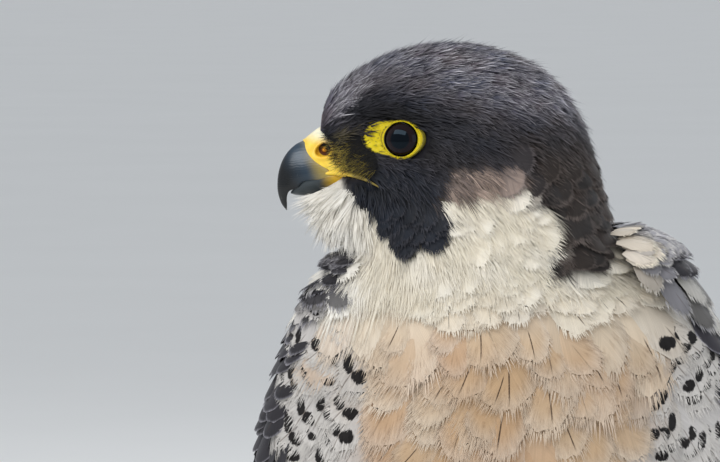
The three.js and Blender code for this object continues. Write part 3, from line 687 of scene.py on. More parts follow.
def marks(p, seed=11):
    """The plumage's colours at places on the bird: ground colour, colour of the rim, and how much
    streak, rim, spot and bar a feather has there. Skin and feathers both take theirs from here."""
    c = colours()
    rng = np.random.default_rng(seed)
    x, y, z = p.T
    rough = ripple(p, 9, 5) * 1.2 + ripple(p, 3.5, 6) * 0.8
    face = step(-1.2, 1.2, depth_in(PALE_FACE, x, z) + rough * 0.5)
    face = face * (1 - step(-26, -16, y) * step(22, 30, x) * step(290, 300, z))
    trunk = 1 - step(-3, 3, y - np.interp(z, *BACK_EDGE) + rough)
    pale = mix(trunk, face, step(296, 302, z))
    shoulder = step(-1, 1.5, np.abs(x) - np.interp(z, *SHOULDER) + 0.7 * rough) * step(291, 295, z)
    shoulder = shoulder * (1 - step(305, 309, z - 9 * (x > 0)))
    pale = pale * (1 - shoulder)
    # The dark hood, moustache, ear and mantle
    # Lighter towards the top of the head and on the forehead: the crown's own greyer feathers with pale
    # tips, with a painted highlight of the light from above on top of them.
    forehead = step(0, 3.5, z - 345.3 - 0.9 * (x + 54.6)) * step(-38, -46, x)
    crown = np.maximum(step(344, 362, z + 0.18 * x), forehead)
    warm = 1 + ripple(p, 9, 21)[:, None] * np.array([0.16, 0.03, -0.1])
    dark = blend(c["slate"], c["crown"], crown)
    dark = blend(dark, c["nape"], step(-14, 16, x) * (1 - step(338, 358, z)))
    # Painted shadow of the brow's overhang: near-black over the front of the eye.
    brow = hump((x + 38) / 14, (z - 349) / 4.6) * (1 - forehead)
    dark = blend(dark, c["brow"], 0.95 * brow)
    behind = hump((x + 18) / 8, (z - 340) / 10)
    dark = blend(dark, c["brow"], 0.5 * behind)
    moustache = step(-2, 2.5, depth_in(MOUSTACHE, x, z) + rough * 0.6)
    dark = blend(dark, c["moustache"], moustache)
    dark = dark * warm
    ear = step(-2, 3, depth_in(EAR, x, z) + rough) * rng.uniform(0.25, 1, len(p))
    dark = blend(dark, c["ear"], ear)
    mantle = 1 - step(296, 306, z - 0.3 * np.maximum(0, np.abs(x) - 30))
    dark = blend(dark, c["wing"], mantle)
    # The pale throat, cheek, breast and belly
    flank = flank_at(x, z)
    belly = 1 - step(190, 215, z)
    buff = step(303, 275, z + 0.1 * np.abs(x + 6)) * (1 - 0.5 * step(46, 66, np.abs(x)))
    buff = np.clip(buff * (1 + 0.3 * ripple(p, 32, 9)), 0, 1)
    light = blend(c["cream"], c["white"], step(-38, -50, x) + 0.35 * step(-0.2, 0.8, ripple(p, 14, 8)))
    light = blend(light, c["buff"], buff)
    light = blend(light, c["salmon"], 0.4 * step(-0.2, 1, ripple(p, 36, 13)) * buff)
    light = blend(light, c["flank"], np.maximum(flank, 0.7 * belly))
    ground = blend(dark, light, pale)
    lores = step(-0.8, 1.2, depth_in(LORES, x, z) + 0.5 * rough)
    lores = lores * (1 - 0.7 * step(334, 341, z + 0.2 * (x + 48)))
    lores = lores * (1 - 0.85 * step(-50, -43.5, x + 0.62 * (z - 340)))
    ground = blend(ground, c["lores"], 0.95 * lores)
    behind_ear = step(-10, 12, x) * (1 - step(335, 350, z))
    rim_dark = blend(blend(c["tip"], c["nape_tip"], behind_ear), c["crown_tip"], crown)
    rim_dark = blend(rim_dark, c["wing_rim"], mantle)
    rim = blend(rim_dark, blend(light, c["white"], 0.35), pale)
    # How much of each mark a feather has
    streak = pale * (1 - step(292, 300, z)) * (1 - flank) * (1 - belly) * (rng.random(len(p)) < 0.7)
    # The brow's painted shadow takes the pale rims away there.
    wide = mix(mix(mix(0.28, 0.6, behind_ear), 1.0, crown) * (1 - brow), 0.9, mantle)
    wide = mix(wide * (1 - 0.3 * moustache), 0.85, pale) * rng.uniform(mix(0.6, 0.35, crown), 1.1, len(p))
    shade = rng.normal(1, mix(mix(0.2, 0.28, crown), 0.035, np.maximum(pale, mantle)))[:, None]
    mark = np.stack([streak, wide, np.round(pale * flank * (1 - belly)), pale * belly], -1)
    return look_of(len(p), rng, ground * np.clip(shade, 0.5, 1.6), rim * np.clip(shade, 0.7, 1.3), mark)


# Finishes


def math_node(operation, swapped=False):
    """A method that joins a socket and what it is given with a Math node."""
    def method(self, *others):
        values = (self, *others)[::-1] if swapped else (self, *others)
        return self.finish.node("ShaderNodeMath", {"operation": operation}, dict(enumerate(values)))
    return method


class Socket:
    """A node's output that takes part in sums: each operator adds a Math node."""

    def __init__(self, finish, link):
        self.finish = finish
        self.link = link

    __add__ = __radd__ = math_node("ADD")
    __sub__ = math_node("SUBTRACT")
    __rsub__ = math_node("SUBTRACT", swapped=True)
    __mul__ = __rmul__ = math_node("MULTIPLY")
    __truediv__ = math_node("DIVIDE")
    __pow__ = math_node("POWER")
    absolute = math_node("ABSOLUTE")
    larger = math_node("MAXIMUM")
    wave = math_node("SINE")


class Finish:
    """A material whose shader is built from expressions."""

    def __init__(self, name, **constants):
        self.material = bpy.data.materials.new(name)
        self.material.use_nodes = True
        self.tree = self.material.node_tree
        self.shader = next(n for n in self.tree.nodes if n.type == "BSDF_PRINCIPLED")
        for socket, value in constants.items():
            self.shader.inputs[socket.replace("_", " ")].default_value = value

    def node(self, kind, settings=None, inputs=None, output=0):
        """Adds a node: its settings first, then its sockets' values or links. Returns an output."""
        made = self.tree.nodes.new(kind)
        for name, value in (settings or {}).items():
            if name == "stops":
                self.set_stops(made.color_ramp, value)
            else:
                setattr(made, name, value)
        for socket, value in (inputs or {}).items():
            if isinstance(value, Socket):
                self.tree.links.new(value.link, made.inputs[socket])
            else:
                made.inputs[socket].default_value = value
        return Socket(self, made.outputs[output])

    def set_stops(self, ramp, stops):
        while len(ramp.elements) < len(stops):
            ramp.elements.new(1.0)
        for element, (place, colour) in zip(ramp.elements, stops):
            element.position = place
            element.color = (*colour[:3], 1.0)

    def mixed(self, share, a, b):
        """Two colours in proportion."""
        settings = {"data_type": "RGBA", "clamp_factor": True}
        return self.node("ShaderNodeMix", settings, {0: share, 6: a, 7: b}, 2)

    def vectors(self, operation, inputs, output=0):
        return self.node("ShaderNodeVectorMath", {"operation": operation}, inputs, output)

    def times(self, colour, factor):
        """A colour made brighter or darker."""
        return self.vectors("SCALE", {0: colour, "Scale": factor})

    def attribute(self, name, output="Color"):
        return self.node("ShaderNodeAttribute", {"attribute_name": name}, {}, output)

    def ramp(self, value, low, high):
        """0 below low and 1 above high, smooth between."""
        settings = {"interpolation_type": "SMOOTHSTEP"}
        return self.node("ShaderNodeMapRange", settings, {0: value, 1: low, 2: high, 3: 0.0, 4: 1.0})

    def band(self, value, *ends):
        """1 between two ramps, up over the first two ends and down over the last two."""
        return self.ramp(value, *ends[:2]) * (1.0 - self.ramp(value, *ends[2:]))

    def noise(self, vector, scale, detail=3.0, roughness=0.55):
        inputs = {"Vector": vector, "Scale": scale, "Detail": detail, "Roughness": roughness}
        return self.node("ShaderNodeTexNoise", {}, inputs)

    def place(self):
        """The place on the piece, in metres."""
        return self.node("ShaderNodeTexCoord", {}, {}, "Object")

    def joined(self, *parts):
        """A vector from its first parts."""
        return self.node("ShaderNodeCombineXYZ", {}, dict(enumerate(parts)))

    def parts(self, vector):
        """The three parts of a vector."""
        made = self.tree.nodes.new("ShaderNodeSeparateXYZ")
        self.tree.links.new(vector.link, made.inputs[0])
        return [Socket(self, output) for output in made.outputs]

    def feed(self, socket, value):
        self.tree.links.new(value.link, self.shader.inputs[socket])

    def bump(self, height, strength, distance):
        inputs = {"Strength": strength, "Distance": distance, "Height": height}
        self.feed("Normal", self.node("ShaderNodeBump", {}, inputs))


# Colours of the marks on pale feathers
DARK = {
    "shaft": (0.055, 0.03, 0.018, 1.0),
    "spot": (0.012, 0.01, 0.01, 1.0),
    "line": (0.1, 0.07, 0.05, 1.0),
    "bar": (0.035, 0.032, 0.035, 1.0),
}


def plumage(name, barbs=34.0, depth=0.2, roughness=0.75, sheen=0.25, contrast=0.5, sweep=0.75, edge=1.0,
            rim_from=0.7, root=1.0):
    """Feathers: the ground colour and rim carried by each, fine barbs that run out and forward from
    the shaft, a dark streak on the shaft, pairs of spots and bars. root is how bright the root is:
    below 1 it paints shade towards the root, where the feathers above lie over it. edge says
    whether the rim runs along the sides too."""
    f = Finish(name, Roughness=roughness, Sheen_Weight=sheen, Sheen_Roughness=0.4, Specular_IOR_Level=0.25)
    across, far, _ = f.parts(f.node("ShaderNodeUVMap", {"uv_map": "Vane"}))
    side = (across * 2.0 - 1.0).absolute()
    chance = f.attribute("tint", "Alpha")
    bars = f.attribute("mark", "Alpha")
    streak, wide, spot = f.parts(f.attribute("mark"))
    run = far - side * sweep
    fine = f.noise(f.joined(side * 1.2, run * barbs, chance * 50.0), 1.0, 2.0)
    coarse = f.noise(f.joined(side * 1.2, run * 6.0, chance * 90.0), 1.0)
    ahead = (far * 2.0 - 1.0).larger(0.0)
    near_rim = (side * side * edge + ahead * ahead) ** 0.5 + (fine - 0.5) * 0.24
    colour = f.mixed(f.ramp(near_rim, rim_from, 1.02) * wide, f.attribute("tint"), f.attribute("rim"))
    shaft = (1.0 - f.ramp(side + (fine - 0.5) * 0.03, 0.008, 0.036)) * f.band(far, 0.52, 0.62, 0.8, 0.95)
    shaft = shaft * streak * f.ramp(chance, 0.0, 0.6)
    colour = f.mixed(shaft * 0.95, colour, DARK["shaft"])
    ragged = far + (fine - 0.5) * 0.08 + side * 0.1
    out = (side - 0.29) / 0.28
    down = (ragged - 0.8) / 0.075
    lobe = 1.0 - f.ramp(out * out + down * down + (coarse - 0.5) * 1.3, 0.8, 1.1)
    colour = f.mixed(lobe * spot * f.ramp(chance, 0.09, 0.1), colour, DARK["spot"])
    line = (1.0 - f.ramp(side, 0.008, 0.03)) * spot * f.ramp(far, 0.6, 0.7) * 0.6
    colour = f.mixed(line, colour, DARK["line"])
    rows = f.ramp((ragged * 24.0).wave(), 0.35, 0.75)
    colour = f.mixed(rows * bars * (1.0 - f.ramp(side, 0.8, 1.0)), colour, DARK["bar"])
    bright = 1.0 + (fine - 0.5) * contrast + (coarse - 0.5) * contrast
    # Painted shade: darker towards the root, where the feathers above lie over it.
    bright = bright * (root + f.ramp(far, 0.1, 0.6) * (1.0 - root))
    f.feed("Base Color", f.times(colour, bright))
    f.bump(fine, 0.4, depth * MM)
    return f.material


def skin_finish():
    """The skin under the feathers, in the same colours as they have there, darkened at random by a
    grain: a texture, and painted shade in the gaps between the feathers.
    """
    f = Finish("skin", Roughness=0.8, Specular_IOR_Level=0.2)
    grain = f.noise(f.place(), 900.0)
    # Painted shade as well as texture: the grain darkens the skin to between 0.6 and 1, so the gaps between
    # feathers look shaded.
    f.feed("Base Color", f.times(f.attribute("tint"), grain * 0.4 + 0.6))
    f.bump(grain, 0.5, 0.3 * MM)
    return f.material


# The skin


def turned_out(points, faces):
    """Arrays of faces, all turned over if the volume inside them comes out below 0."""
    three = [f[:, [0, i, i + 1]] for f in faces for i in range(1, f.shape[1] - 1)]
    a, b, c = np.moveaxis(points[np.concatenate(three)], 1, 0)
    inwards = (a * np.cross(b, c)).sum() < 0
    return [f[:, ::-1] for f in faces] if inwards else faces


def closed(grid):
    """A closed body through rings of points: four-sided faces between rings and a fan of three-
    sided ones at each end."""
    rings, sides, _ = grid.shape
    i, j = np.mgrid[0 : rings - 1, 0:sides]
    k = (j + 1) % sides
    quads = np.stack([i * sides + j, i * sides + k, (i + 1) * sides + k, (i + 1) * sides + j], -1)
    points = np.concatenate([grid.reshape(-1, 3), grid[0].mean(0)[None], grid[-1].mean(0)[None]])
    first, end = rings * sides, (rings - 1) * sides
    one = np.arange(sides)
    two = (one + 1) % sides
    near = np.stack([np.full(sides, first), two, one], -1)
    far = np.stack([np.full(sides, first + 1), end + one, end + two], -1)
    return points, turned_out(points, [quads.reshape(-1, 4), np.concatenate([near, far])])


def coat_depth(t):
    """How deep the skin lies under the coat at row t of the body."""
    depth = bpy.context.scene.falcon_sizes.coat_depth / MM
    return np.interp(t, [0, 2, 6, 9, 11], [0.25, 0.3, 0.5, 0.8, 1.0]) * depth


def fullness(t, turn):
    """How far the coat of the flanks stands over the body, so that it meets the wing's front edge:
    a hump round the place just ahead of the side, along the rows of the trunk."""
    return hump((np.sin(turn) - 0.12) / 0.34) * np.interp(t, [8.6, 10, 13, 15, 17.5], [0, 12.5, 10, 7, 0])


def coat_point(t, turn):
    """The surface on which the coat of head and trunk lies."""
    p = body_point(t, turn, fullness(t, turn))
    side = step(8, 20, np.abs(p[..., 1] - HEAD_Y)) * np.sign(p[..., 1] - HEAD_Y) * (p[..., 2] > 285)
    for x, z, reach, height in PUFFS:
        p[..., 1] += side * height * np.exp(-((p[..., 0] - x) ** 2 + (p[..., 2] - z) ** 2) / reach**2)
    return p


def skin_point(t, turn):
    """The coat's surface sunk by its depth, and drawn in where the bill's base covers it."""
    p = body_point(t, turn, fullness(t, turn) - coat_depth(t))
    inside = step(-1, 3, depth_in(BORDER, p[..., 0], p[..., 2]))
    p[..., 1] = HEAD_Y + (p[..., 1] - HEAD_Y) * (1 - 0.3 * inside)
    return p


# Size of the fine grid that joins the skin, and the shell of a wing's arm
VOXEL = 1.6
SHELL = {"sides": 16, "rings": 14, "thick": 7}


def wing_shell(hand, depth):
    """Rings of a wing's arm: out along the wing's surface and back along its inner side."""
    outer = np.radians(np.linspace(24, 104, SHELL["sides"]))
    there_and_back = np.append(outer, outer[::-1])
    t, angle = np.meshgrid(np.linspace(1.2, 5.6, SHELL["rings"]), there_and_back, indexing="ij")
    sunk = np.repeat([depth, depth + SHELL["thick"]], SHELL["sides"])
    p = wing_point(hand)(t, angle)
    middle = vector(0, np.interp(t, [1, 6], [-13, 30]), 0)
    return p - unit((p - middle) * np.array([1, 1, 0])) * sunk[:, None]


def make_skin():
    """One closed skin over head, trunk, wings and thighs, from lofts fused on a fine grid."""
    depth = bpy.context.scene.falcon_sizes.coat_depth / MM
    piece = Piece("skin")
    piece.body(skin_point, (0, LAST_ROW, 110), 72)
    for hand in HANDS.values():
        rows = thigh_rows(hand) - np.array([0, 0, 0, 0.6, 0.6]) * depth
        rows[-1, 3:] += 0.5 * depth
        piece.body(limb_point(rows), (0, len(rows) - 1, 24), 28)
        piece.add(*closed(wing_shell(hand, 1.3 * depth)))
    rough = piece.make(None)
    remesh = rough.modifiers.new("one_skin", "REMESH")
    remesh.mode = "VOXEL"
    remesh.voxel_size = VOXEL * MM
    remesh.use_smooth_shade = True
    shape = bpy.data.meshes.new_from_object(rough.evaluated_get(bpy.context.evaluated_depsgraph_get()))
    bpy.data.objects.remove(rough)
    shape.name = "skin"
    skin = bpy.data.objects.new("skin", shape)
    bpy.context.scene.collection.objects.link(skin)
    points = np.zeros(len(shape.vertices) * 3, np.float32)
    shape.vertices.foreach_get("co", points)
    look = marks(points.reshape(-1, 3) / MM - PLACE)
    layer = shape.attributes.new("tint", "FLOAT_COLOR", "POINT")
    layer.data.foreach_set("color", look["tint"].astype(np.float32).ravel())
    shape.materials.clear()
    shape.materials.append(skin_finish())
    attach(skin, "root")
    fleshy = ["head", "neck", "torso", "tail"]
    fleshy += [part + "_" + side for part in ("wing", "thigh") for side in HANDS]
    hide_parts(*fleshy)


# The coat


def ring_reach(angle):
    """How far the bare ring reaches from the eye's middle, by the angle up from straight back."""
    forward = np.maximum(0, -np.cos(angle + 0.12)) ** 5
    backward = np.maximum(0, np.cos(angle)) ** 6
    upward = np.maximum(0, np.sin(angle)) ** 2
    return LID["outer"] + LID["front"] * forward + LID["back"] * backward - LID["top"] * upward


def bare(p, room=0.6):
    """Where no feather has its root: the rings round the eyes, the bill's base and the gape."""
    x, z = p[:, 0], p[:, 2]
    dx, dz = (x - EYE["x"]) / math.cos(math.radians(EYE["turn"])), z - EYE["z"]
    angle = np.arctan2(dz, dx)
    ring = np.hypot(dx, dz) < ring_reach(angle) - room + 3.5 * np.maximum(0, -np.cos(angle + 0.35)) ** 3
    ring &= np.abs(p[:, 1] - HEAD_Y) > 6
    muzzle = (depth_in(BORDER, x, z) > -room) & (x < -40)
    muzzle |= (depth_in(LORES, x, z) > 0.6) & (x < -38)
    gape = (np.abs(z - 331.2 + 0.2 * (x + 50)) < 1.6) & (x < -40) & (x > -58)
    return ring | muzzle | gape


# How far the trunk's feathers lean back: heights, and steps back for each step down
LEAN = ((90, 131, 157, 185, 214, 243, 266, 290), (0.84, 0.81, 0.67, 0.5, 0.36, 0.25, 0.18, 0.05))


def lie(p):
    """The way feathers point: back from the bill and down round the head, forward and down at the
    chin, then down the trunk and outwards to its sides, and back along the belly."""
    x, y, z = p.T
    rx, rz = x - THROAT[0], z - THROAT[1]
    round_head = unit(vector(rz, 0, -rx))
    from_bill = unit((p - np.array([-57, HEAD_Y, 337])) * np.array([1, 0.7, 1]))
    head = 0.62 * round_head + 0.6 * from_bill
    chin = step(-38, -47, x) * step(330, 327, z)
    ahead = 0.9 - 0.05 * (x + 57) - 0.075 * (325 - z) + 0.16 * ripple(p, 3.5, 17)
    ahead = np.clip(ahead, 0.02, 0.95)
    head = blend(head, vector(-ahead, 0.25 * np.sign(y - HEAD_Y), -np.sqrt(1 - ahead**2)), 0.95 * chin)
    jowl = hump((x + 36) / 9, (z - 316) / 10)
    head = head + jowl[:, None] * np.array([-0.1, 0, -0.8])
    lean = np.interp(z, *LEAN)
    trunk = vector(0.019 * x * step(140, 215, z), lean, -1.0)
    return blend(unit(trunk), unit(head), step(292, 306, z))


BODY = Surface(coat_point, (0.0, LAST_ROW), (0.0, FULL_TURN))


def flank_at(x, z):
    """How much a place of the trunk belongs to its flanks."""
    return step(0, 6, np.abs(x) - 37 - (z - 245) * 0.3) * (1 - step(292, 300, z))


def pale_at(p):
    """How pale the plumage is at places: 1 on the face, throat, breast and belly."""
    ground = marks(p)["tint"][:, :3].mean(-1)
    return step(0.2, 0.3, ground)


# Borders between parts of the coat: heights where head and crown begin and the belly ends, and in x
# where the lores end and the cheek begins
HEAD_FROM = 299
CROWN_FROM = 343
BELLY_TO = 205
LORES_TO = -38
CHEEK_FROM = -27


def zone(name):
    """A test of places for one part of the coat of head and trunk."""
    def test(p):
        x, y, z = p.T
        across = np.abs(x)
        pale = pale_at(p) > 0.5
        on_head = z > HEAD_FROM
        nape = (x > -10) & (z < CROWN_FROM) & ~pale & on_head
        if name == "nape":
            nape &= (x > 16) | (z > 330) | (pale_at(p + lie(p) * 9) < 0.5)
        jowl = (depth_in(MOUSTACHE, x, z) > -1.5) & ~pale & ((x > -47) | (z < 328))
        if name in ("moustache", "whisker"):
            jowl &= pale_at(p + lie(p) * (5.5 if name == "moustache" else 8)) < 0.5
        side = flank_at(x, z) > 0.5
        under = (x > 10) & (x < 44) & (z > HEAD_FROM) & (z < 312) & (y < -24)
        parts = {
            "crown": on_head & (z >= CROWN_FROM) & ~pale,
            "forehead": (x < LORES_TO) & (z > 341) & (z - 0.5 * x > 366),
            "brim": (x < -48) & (z > 343) & (z - 0.5 * x > 368),
            "mask": on_head & (z < CROWN_FROM) & ~pale & ~nape & ~jowl,
            "nape": nape & (across < 42),
            "nape_top": nape & (z > 331 - 0.25 * x) & (across < 42),
            "moustache": on_head & jowl,
            "whisker": on_head & jowl & (z < 325),
            "crest": on_head & ~pale & ((z > 350) | ((z > 318) & (x > 0))),
            "cheek": on_head & pale & (x > CHEEK_FROM),
            "puff": on_head & (x > CHEEK_FROM) & (marks(p)["tint"][:, :3].mean(-1) > 0.6),
            "throat": on_head & pale & (x <= CHEEK_FROM) & (z < 326.5 + 2.5 * (x < -50.5)),
            "chin": (x < -44) & (z < 327.5) & (z > 314) & (pale | (x < -52)),
            "breast": (z <= 306) & (z > BELLY_TO) & pale & ~side | under,
            "flank": (z <= 300) & (z > BELLY_TO) & pale & side,
            "belly": (z <= BELLY_TO) & pale,
            "lores": (depth_in(LORES, x, z) > -1.6) & (z > 333) & (np.abs(y - HEAD_Y) > 4) & (x < LORES_TO),
            "back": (z <= 308) & ~pale & (y > -14) & ((z < HEAD_FROM) | (y > 0)),
            "shoulder": (z <= 312) & ~pale & (y <= -14) & (z > 293) & (across > 36),
        }
        room = -2.2 if name in ("forehead", "brim", "chin") else 0.6
        return parts[name] & (~bare(p, room) | (name == "lores"))
    return test


PLANS = {
    "lock": hair_plan(6, 4, 1.0, 0.11),
    "streak": hair_plan(3, 4, 0.8, 0.2, seed=17),
    "wisp": hair_plan(12, 5, 0.7, 0.06, 0.12, seed=5),
    "tuft": hair_plan(7, 4, 1.1, 0.085, 0.3, seed=4),
    "bristle": hair_plan(2, 5, 2.0, 0.07, 0.7, seed=12),
    "vane": vane_plan(ROUND, 10, 9, ragged=0.03, round_tip=0, seed=6),
    "scale": vane_plan(ROUND, 9, 8, ragged=0.02, round_tip=0, size=0.97, seed=15).joined(
        fringe_plan(90, 0.6, 0.1, 2.2, 0.02, seed=16)),
    "small": vane_plan(ROUND, 7, 6, round_tip=0, size=0.95, seed=7).joined(
        fringe_plan(60, 0.5, 0.16, 2.4, 0.04, seed=8)),
    "soft": vane_plan(ROUND, 8, 7, round_tip=0, size=0.95, seed=9).joined(
        fringe_plan(200, 0.35, 0.11, 2.7, 0.014, seed=10)),
    "down": vane_plan(ROUND, 7, 6, round_tip=0, size=0.95, seed=13).joined(
        fringe_plan(110, 0.5, 0.12, 2.6, 0.022, seed=14)),
    "firm": vane_plan(QUILL, 9, 5, ragged=0.02, round_tip=0.06, seed=11),
}

# Finishes of the plumage: the settings of plumage(). A root below 1 paints shade towards the feathers'
# roots.
FINISHES = {
    "hood": {"barbs": 5.0, "depth": 0.1, "roughness": 0.6, "sheen": 0.1, "contrast": 0.6,
             "edge": 0.0, "rim_from": 0.0, "root": 0.35},
    "nape": {"barbs": 30.0, "depth": 0.15, "roughness": 0.6, "sheen": 0.1, "contrast": 0.7,
             "rim_from": 0.84, "root": 0.3},
    "face": {"barbs": 5.0, "depth": 0.1, "roughness": 0.8, "contrast": 0.2, "edge": 0.0, "root": 0.9},
    "breast": {"barbs": 60.0, "depth": 0.15, "roughness": 0.85, "contrast": 0.3, "rim_from": 0.45},
    "back": {"barbs": 50.0, "depth": 0.12, "roughness": 0.6, "sheen": 0.08, "contrast": 0.4,
             "rim_from": 0.9},
}

# The coat's pieces: finish, slot and layers. A layer names its zone and plan, the spacing of its
# feathers (one number strews them, two are a row's height and the step along it), their length
# and half width, the depth of the root, the height of the tip, how far the tip stands out, and how
# closely the feather follows the surface: 1 all the way, 0 straight on.
COATS = {
    "crown_feathers": ("hood", "hood_feathers", [
        ("crown", "lock", 1.3, 6.5, 1.1, -1.2, 0.5, 0.035, 0.8),
        ("crown", "streak", 2.3, 7.5, 1.3, -1.0, 1.1, 0.05, 0.7),
    ]),
    "crest_feathers": ("hood", "hood_feathers", [
        ("forehead", "lock", 1.1, 6, 1.0, -0.2, 0.9, 0.06, 0.8),
        ("brim", "streak", 1.6, 6, 1.2, -0.3, 1.2, 0.1, 0.5),
        ("crest", "lock", 2.8, 7.5, 1.2, -0.8, 0.9, 0.13, 0.3),
    ]),
    "face_feathers": ("hood", "hood_feathers", [
        ("mask", "lock", 1.2, 5.2, 1.0, -1.0, 0.4, 0.025, 1.0),
        ("moustache", "lock", 1.5, 7.5, 1.3, -1.0, 0.8, 0.04, 0.9),
    ]),
    "moustache_feathers": ("nape", "hood_feathers", [
        ("whisker", "small", 3.2, 9.5, 4.2, -1.4, 0.9, 0.03, 0.8),
    ]),
    "nape_feathers": ("nape", "hood_feathers", [
        ("nape", "scale", (5.6, 7.0), 14, 6.6, -1.9, 1.7, 0.02, 0.95),
    ]),
    "nape_hairs": ("hood", "hood_feathers", [
        ("nape_top", "lock", 1.5, 7, 1.2, -1.0, 0.9, 0.05, 0.7),
        ("nape", "lock", 6.0, 7, 1.2, -1.0, 1.0, 0.05, 0.7),
    ]),
    "cheek_feathers": ("breast", "throat_feathers", [
        ("puff", "down", 4.6, 13, 5.5, -1.8, 0.9, 0.02, 0.9),
    ]),
    "cheek_hairs": ("face", "throat_feathers", [
        ("cheek", "tuft", 1.6, 8.5, 1.5, -0.8, 1.6, 0.03, 0.85),
    ]),
    "throat_hairs": ("face", "throat_feathers", [
        ("throat", "wisp", 1.4, 11, 1.7, -0.8, 0.8, 0.04, 0.85),
    ]),
    "beard": ("face", "throat_feathers", [
        ("chin", "wisp", 1.5, 8.8, 1.7, -0.8, -0.2, 0.0, 0.0),
    ]),
    "breast_feathers": ("breast", "breast_feathers", [
        ("breast", "soft", (7.3, 8.4), 23, 8.2, -2.4, 0.8, 0.01, 0.95),
    ]),
    "flank_feathers": ("breast", "breast_feathers", [
        ("flank", "down", (7.0, 8.0), 22, 7.5, -2.2, 0.9, 0.01, 0.95),
    ]),
    "belly_feathers": ("breast", "breast_feathers", [
        ("belly", "down", (9.5, 12), 28, 10.0, -2.2, 0.6, 0.01, 1.0),
    ]),
    "back_feathers": ("back", "wing_feathers", [
        ("back", "vane", (7.5, 9.0), 22, 8.0, -3.5, 1.2, 0.01, 1.0),
        ("shoulder", "small", (4.5, 5.5), 12, 4.6, -2.0, 1.0, 0.02, 0.9),
    ]),
}


# Where feathers lie in rows: the first and last row, the turn at which the rows are measured, and
# how far a root may stray
ROWS = {
    "nape": (4.0, 9.7, 2.3, 0.18),
    "trunk": (8.4, LAST_ROW - 0.2, math.pi / 2, 0.3),
}


def add_coat(piece, surface, places, plan, length, half, deep, high, stand, cling, seed):
    """Lays feathers at places of a surface, sized, turned and raised a little at random, in the
    colours that the bird has a little way from their roots and, where they are long, at their tips."""
    u, v = places
    rng = np.random.default_rng(seed)
    count = len(u)
    p, _ = surface.at(u, v)
    way = unit(lie(p) + rng.normal(0, 0.1, (count, 3)))
    grown = 1 + 0.14 * rng.normal(0, 1, count)
    long = length * np.clip(grown, 0.6, 1.5)
    look = tuple(
        marks(p + way * (long * np.interp(length, [8, 20], [0.25, share]))[:, None], seed)
        for share in (0.35, 0.9)
    )
    uneven = np.interp(length, [10, 25], [0.25, 0.6])
    high = high + rng.uniform(-uneven, uneven, count)
    stand = stand * np.minimum(rng.exponential(1, count), 2.2)
    roll = np.interp(length, [12, 22], [0.1, 0.05]) * rng.normal(0, 1, count)
    lay(piece, surface, u, v, plan, look, long, half * np.clip(grown, 0.7, 1.3), way, deep, high,
        stand=stand, cup=0.18, roll=roll, bend=rng.normal(0, 0.08, count), seed=seed, cling=cling)


def make_coat():
    """The feathers of head, neck and trunk, piece by piece."""
    finishes = {name: plumage(name + "_plumage", **settings) for name, settings in FINISHES.items()}
    for number, (name, (finish, slot, layers)) in enumerate(COATS.items()):
        piece = Piece(name)
        for order, (where, plan, spacing, *size) in enumerate(layers):
            seed = 30 + 10 * number + 2 * order
            if isinstance(spacing, tuple):
                first, last, turn, jitter = ROWS["nape" if where == "nape" else "trunk"]
                rows = rows_apart(BODY, (first, last), turn, spacing[0])
                places = BODY.tile(rows, spacing[1], (0.0, FULL_TURN), zone(where), seed, jitter)
            else:
                places = BODY.strew(spacing, zone(where), seed, NECK_ROW + 1.5)
            add_coat(piece, BODY, places, PLANS[plan], *size, seed=seed + 1)
        piece.make(finishes[finish], slot)


# Wings and tail

# Tiers of a folded wing: number of feathers, row and angle of root and tip at the first and last,
# half the width, the root's depth, the vane's height over the wing's surface, and the step down
# from each feather to the next.
TIERS = {
    "primary": (10, [[5.4, 44], [5, 103]], [[10.6, 20], [13, 38]], 8.5, -9.4, -5.0, 0.5),
    "secondary": (12, [[4.2, 12], [5, 86]], [[9.3, 13], [8.4, 64]], 10, -7.4, -3.4, 0.25),
    "greater": (14, [[3.9, 10], [4.2, 106]], [[6.9, 12], [7.0, 96]], 9.5, -6, -1.2, 0.12),
    "median": (16, [[3.1, 16], [3.3, 110]], [[5.3, 12], [5.5, 108]], 8, -4.6, 0.2, 0.06),
}


# The pale patch on the front of each wing
WRIST = {"x": 57.5, "z": 296.5, "reach": 7.0}
# How high the coverts reach, and how far out the left wing's end beside the neck, on a line that
# leans with its side
COVERTS_TO = 320
NECK_EDGE = 34.3
# A covert's length and half width, its root's depth, and the row from which they are whole vanes
COVERT = {"length": 13, "half": 4.9, "deep": -3.5, "large_from": 1.7}


# How far a long vane leans over the one beside it, and how far its sides curl down
VANE = {"lean": 0.22, "curl": 0.1}


def lay_tier(piece, surface, count, root, tip, half, sunk, lift, drop, seed):
    """Lays one tier: each feather runs straight in row and angle from its root to its tip, leans a
    little over the one beside it and lies a step lower than the one before it."""
    rng = np.random.default_rng(seed)
    share = np.linspace(0, 1, count)[:, None]
    root, tip = np.array(root, float), np.array(tip, float)
    start = mix(root[0], root[1], share)
    end = mix(tip[0], tip[1], share)
    plan = PLANS["firm"]
    version = rng.integers(0, len(plan.a), count)
    a, b = plan.a[version], plan.b[version]
    t = mix(start[:, :1], end[:, :1], a)
    angle = np.radians(mix(start[:, 1:], end[:, 1:], a))
    _, _, _, wide, back, _ = along(WING_ROWS, t)
    radius = np.hypot(wide * np.cos(angle), back * np.sin(angle))
    points, normals = surface.at(t, angle + b * half / radius)
    high = mix(sunk, lift, step(0, 0.3, a)) + VANE["lean"] * b * half - drop * np.arange(count)[:, None]
    points = points + normals * (high - VANE["curl"] * half * b**2)[..., None]
    c = colours()
    shade = rng.normal(1, 0.06, (count, 1))
    look = look_of(count, rng, c["wing"] * shade, c["wing_rim"] * shade, (0, 0.55, 0, 0))
    u, v = start[:, 0], np.radians(start[:, 1])
    add_feathers(piece, points, plan, a, b, surface, u, v, look)


def make_wings():
    for name, hand in HANDS.items():
        make_wing(name, hand)


